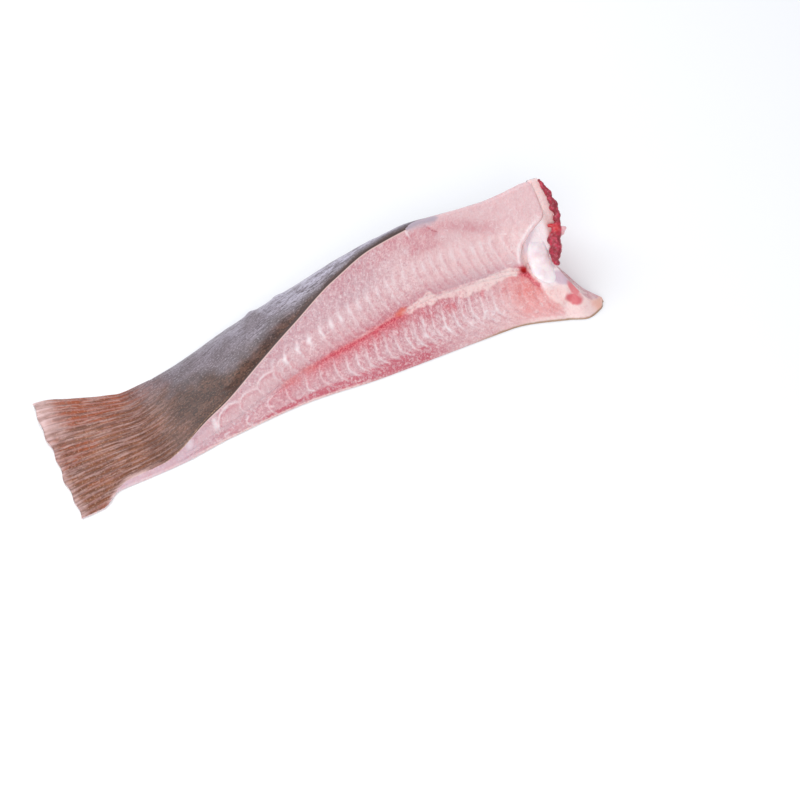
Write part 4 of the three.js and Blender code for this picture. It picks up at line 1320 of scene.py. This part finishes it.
# %% A chain of lumps
SEAM_FOOT, SEAM_TOP, SEAM_STEP = 28.5, 68, 0.9
SEAM_VOXEL, SEAM_ROUNDS = 0.45, 2
FLAP_HEIGHT = 43.5
seam_size = curve([28, 2.2], [31, 3.7], [36, 4.6], [40, 4.1], [44, 3.0], [47, 2.6], [53, 2.8],
                  [58, 2.6], [62, 2.0], [66, 1.2], [68, 0.7])
FLAP_LUMPS = ((3.0, -0.8, 2.3), (4.6, 0.3, 2.0), (6.0, 0.9, 1.4), (4.2, -2.8, 1.5),
              (2.6, -3.6, 1.6))
FRESH_LUMPS = ((-5.6, 2.6, 0.9), (-4.4, 2.8, 1.1), (-3.0, 2.6, 1.4))
picture_right = np.array(Vector((0, 0, 1)).cross(VIEW_BACK).normalized())
picture_up = np.cross(toward_eye, picture_right)


def on_seam(z):
    """The end wall's front edge at a height, and a little in front of it."""
    v = float(front_edge(END_WALL)) + FACE_LEAN * z
    return np.array([float(end_wall_up(z)), v, z]) + 1.5 * toward_eye


# %% The sizes and places of the lumps
luck = np.random.default_rng(5)
chain = []
for z in np.arange(SEAM_FOOT, SEAM_TOP, SEAM_STEP):
    size = float(seam_size(z))
    place = on_seam(z) + luck.uniform(-0.3, 0.3, 3) * size
    chain.append((place, size * luck.uniform(0.7, 1.02)))
for to_right, upward, size in FLAP_LUMPS + FRESH_LUMPS:
    place = on_seam(FLAP_HEIGHT) + to_right * picture_right + upward * picture_up
    chain.append((place, size))
print("lumps in the chain:", len(chain))

# %% One body from the lumps
bpy.ops.object.select_all(action="DESELECT")
balls = []
for place, size in chain:
    bpy.ops.mesh.primitive_ico_sphere_add(subdivisions=3, radius=size * MM,
                                          location=(place - ORIGIN) * MM)
    balls.append(bpy.context.object)
for ball in balls:
    ball.select_set(True)
bpy.ops.object.join()
tissue = bpy.context.object
tissue.name = "dark_tissue_lumps"
bpy.ops.object.transform_apply(location=True, rotation=True, scale=True)
even_and_smooth(tissue, SEAM_VOXEL, SEAM_ROUNDS)
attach(tissue, "root")
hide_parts("dark_tissue")
push_out(tissue, 0.15 + 0.4 * lumps(places_of(tissue), 2.6, 15))
print("tissue facets:", len(tissue.data.polygons))

# %% Its pale flap, fresh red bits and thin veil
from_flap = places_of(tissue) - on_seam(FLAP_HEIGHT)
to_right, upward = from_flap @ picture_right, from_flap @ picture_up
fresh_middle = bell(np.hypot(to_right + 0.5, upward - 0.6), 3.4)
fresh_left = smooth(-1.8, -2.8, to_right) * bell(upward - 2.7, 1.8)
veil = smooth(-0.1, 0.5, lumps(places_of(tissue), 3.5, 16)) * between(upward, 4, 9, 17, 22)
paint(tissue, "flap", smooth(2.6, 4.2, to_right))
paint(tissue, "fresh", np.maximum(fresh_middle, fresh_left))
paint(tissue, "veil", veil * smooth(-1, 1, to_right - 0.25 * upward + 3))
print("share of fresh red:", round(float(np.maximum(fresh_middle, fresh_left).mean()), 2))

# %% [markdown]
# ## Finishes for the cartilage and the tissue
# Wet cartilage is milky and smooth, so it gets a clear, tight sheen over a soft white. The
# tissue is full of blood: dark crimson with lighter clots and small painted pinkish highlights,
# and more matt than the cartilage.

# %% Cartilage finish
gristle = Finish("wet_cartilage", Roughness=0.3, Subsurface_Weight=0.3, Subsurface_Scale=0.002,
                 Coat_Weight=0.5, Coat_Roughness=0.12)
spot = gristle.node("TexCoord").outputs["Object"]
milky = gristle.ramp(gristle.noise(spot, 7, 3), 0.45, 0.7)
gristle.colour(gristle.blend(milky, linear("#f3e6e8"), linear("#ecd5d9")))
gristle.bumps((gristle.noise(spot, 5, 2), 0.8, 0.3))
cartilage.data.materials.clear()
cartilage.data.materials.append(gristle.material)

# %% Tissue finish
bloody = Finish("wet_red_tissue", Roughness=0.4, Subsurface_Weight=0.2, Subsurface_Scale=0.0015,
                Coat_Weight=0.3, Coat_Roughness=0.15)
spot = bloody.node("TexCoord").outputs["Object"]
clots = bloody.ramp(bloody.noise(spot, 3.5, 3), 0.4, 0.65)
shade = bloody.blend(clots, linear("#8a0c25"), linear("#c12d4b"))
# Painted highlights: small pinkish glints on the wet tissue.
flecks = bloody.ramp(bloody.noise(spot, 1.6, 2), 0.62, 0.74, 0, 0.45)
shade = bloody.tint(shade, "#cc8796", flecks)
shade = bloody.tint(shade, "#bc8aa0", bloody.times(bloody.mark("veil"), 0.7))
shade = bloody.tint(shade, "#c9262c", bloody.mark("fresh"))
bloody.colour(bloody.tint(shade, "#e6b3b8", bloody.mark("flap")))
bloody.bumps((bloody.noise(spot, 2.2, 2), 0.8, 0.5))
tissue.data.materials.clear()
tissue.data.materials.append(bloody.material)
print("cartilage and tissue nodes:", len(gristle.tree.nodes), len(bloody.tree.nodes))
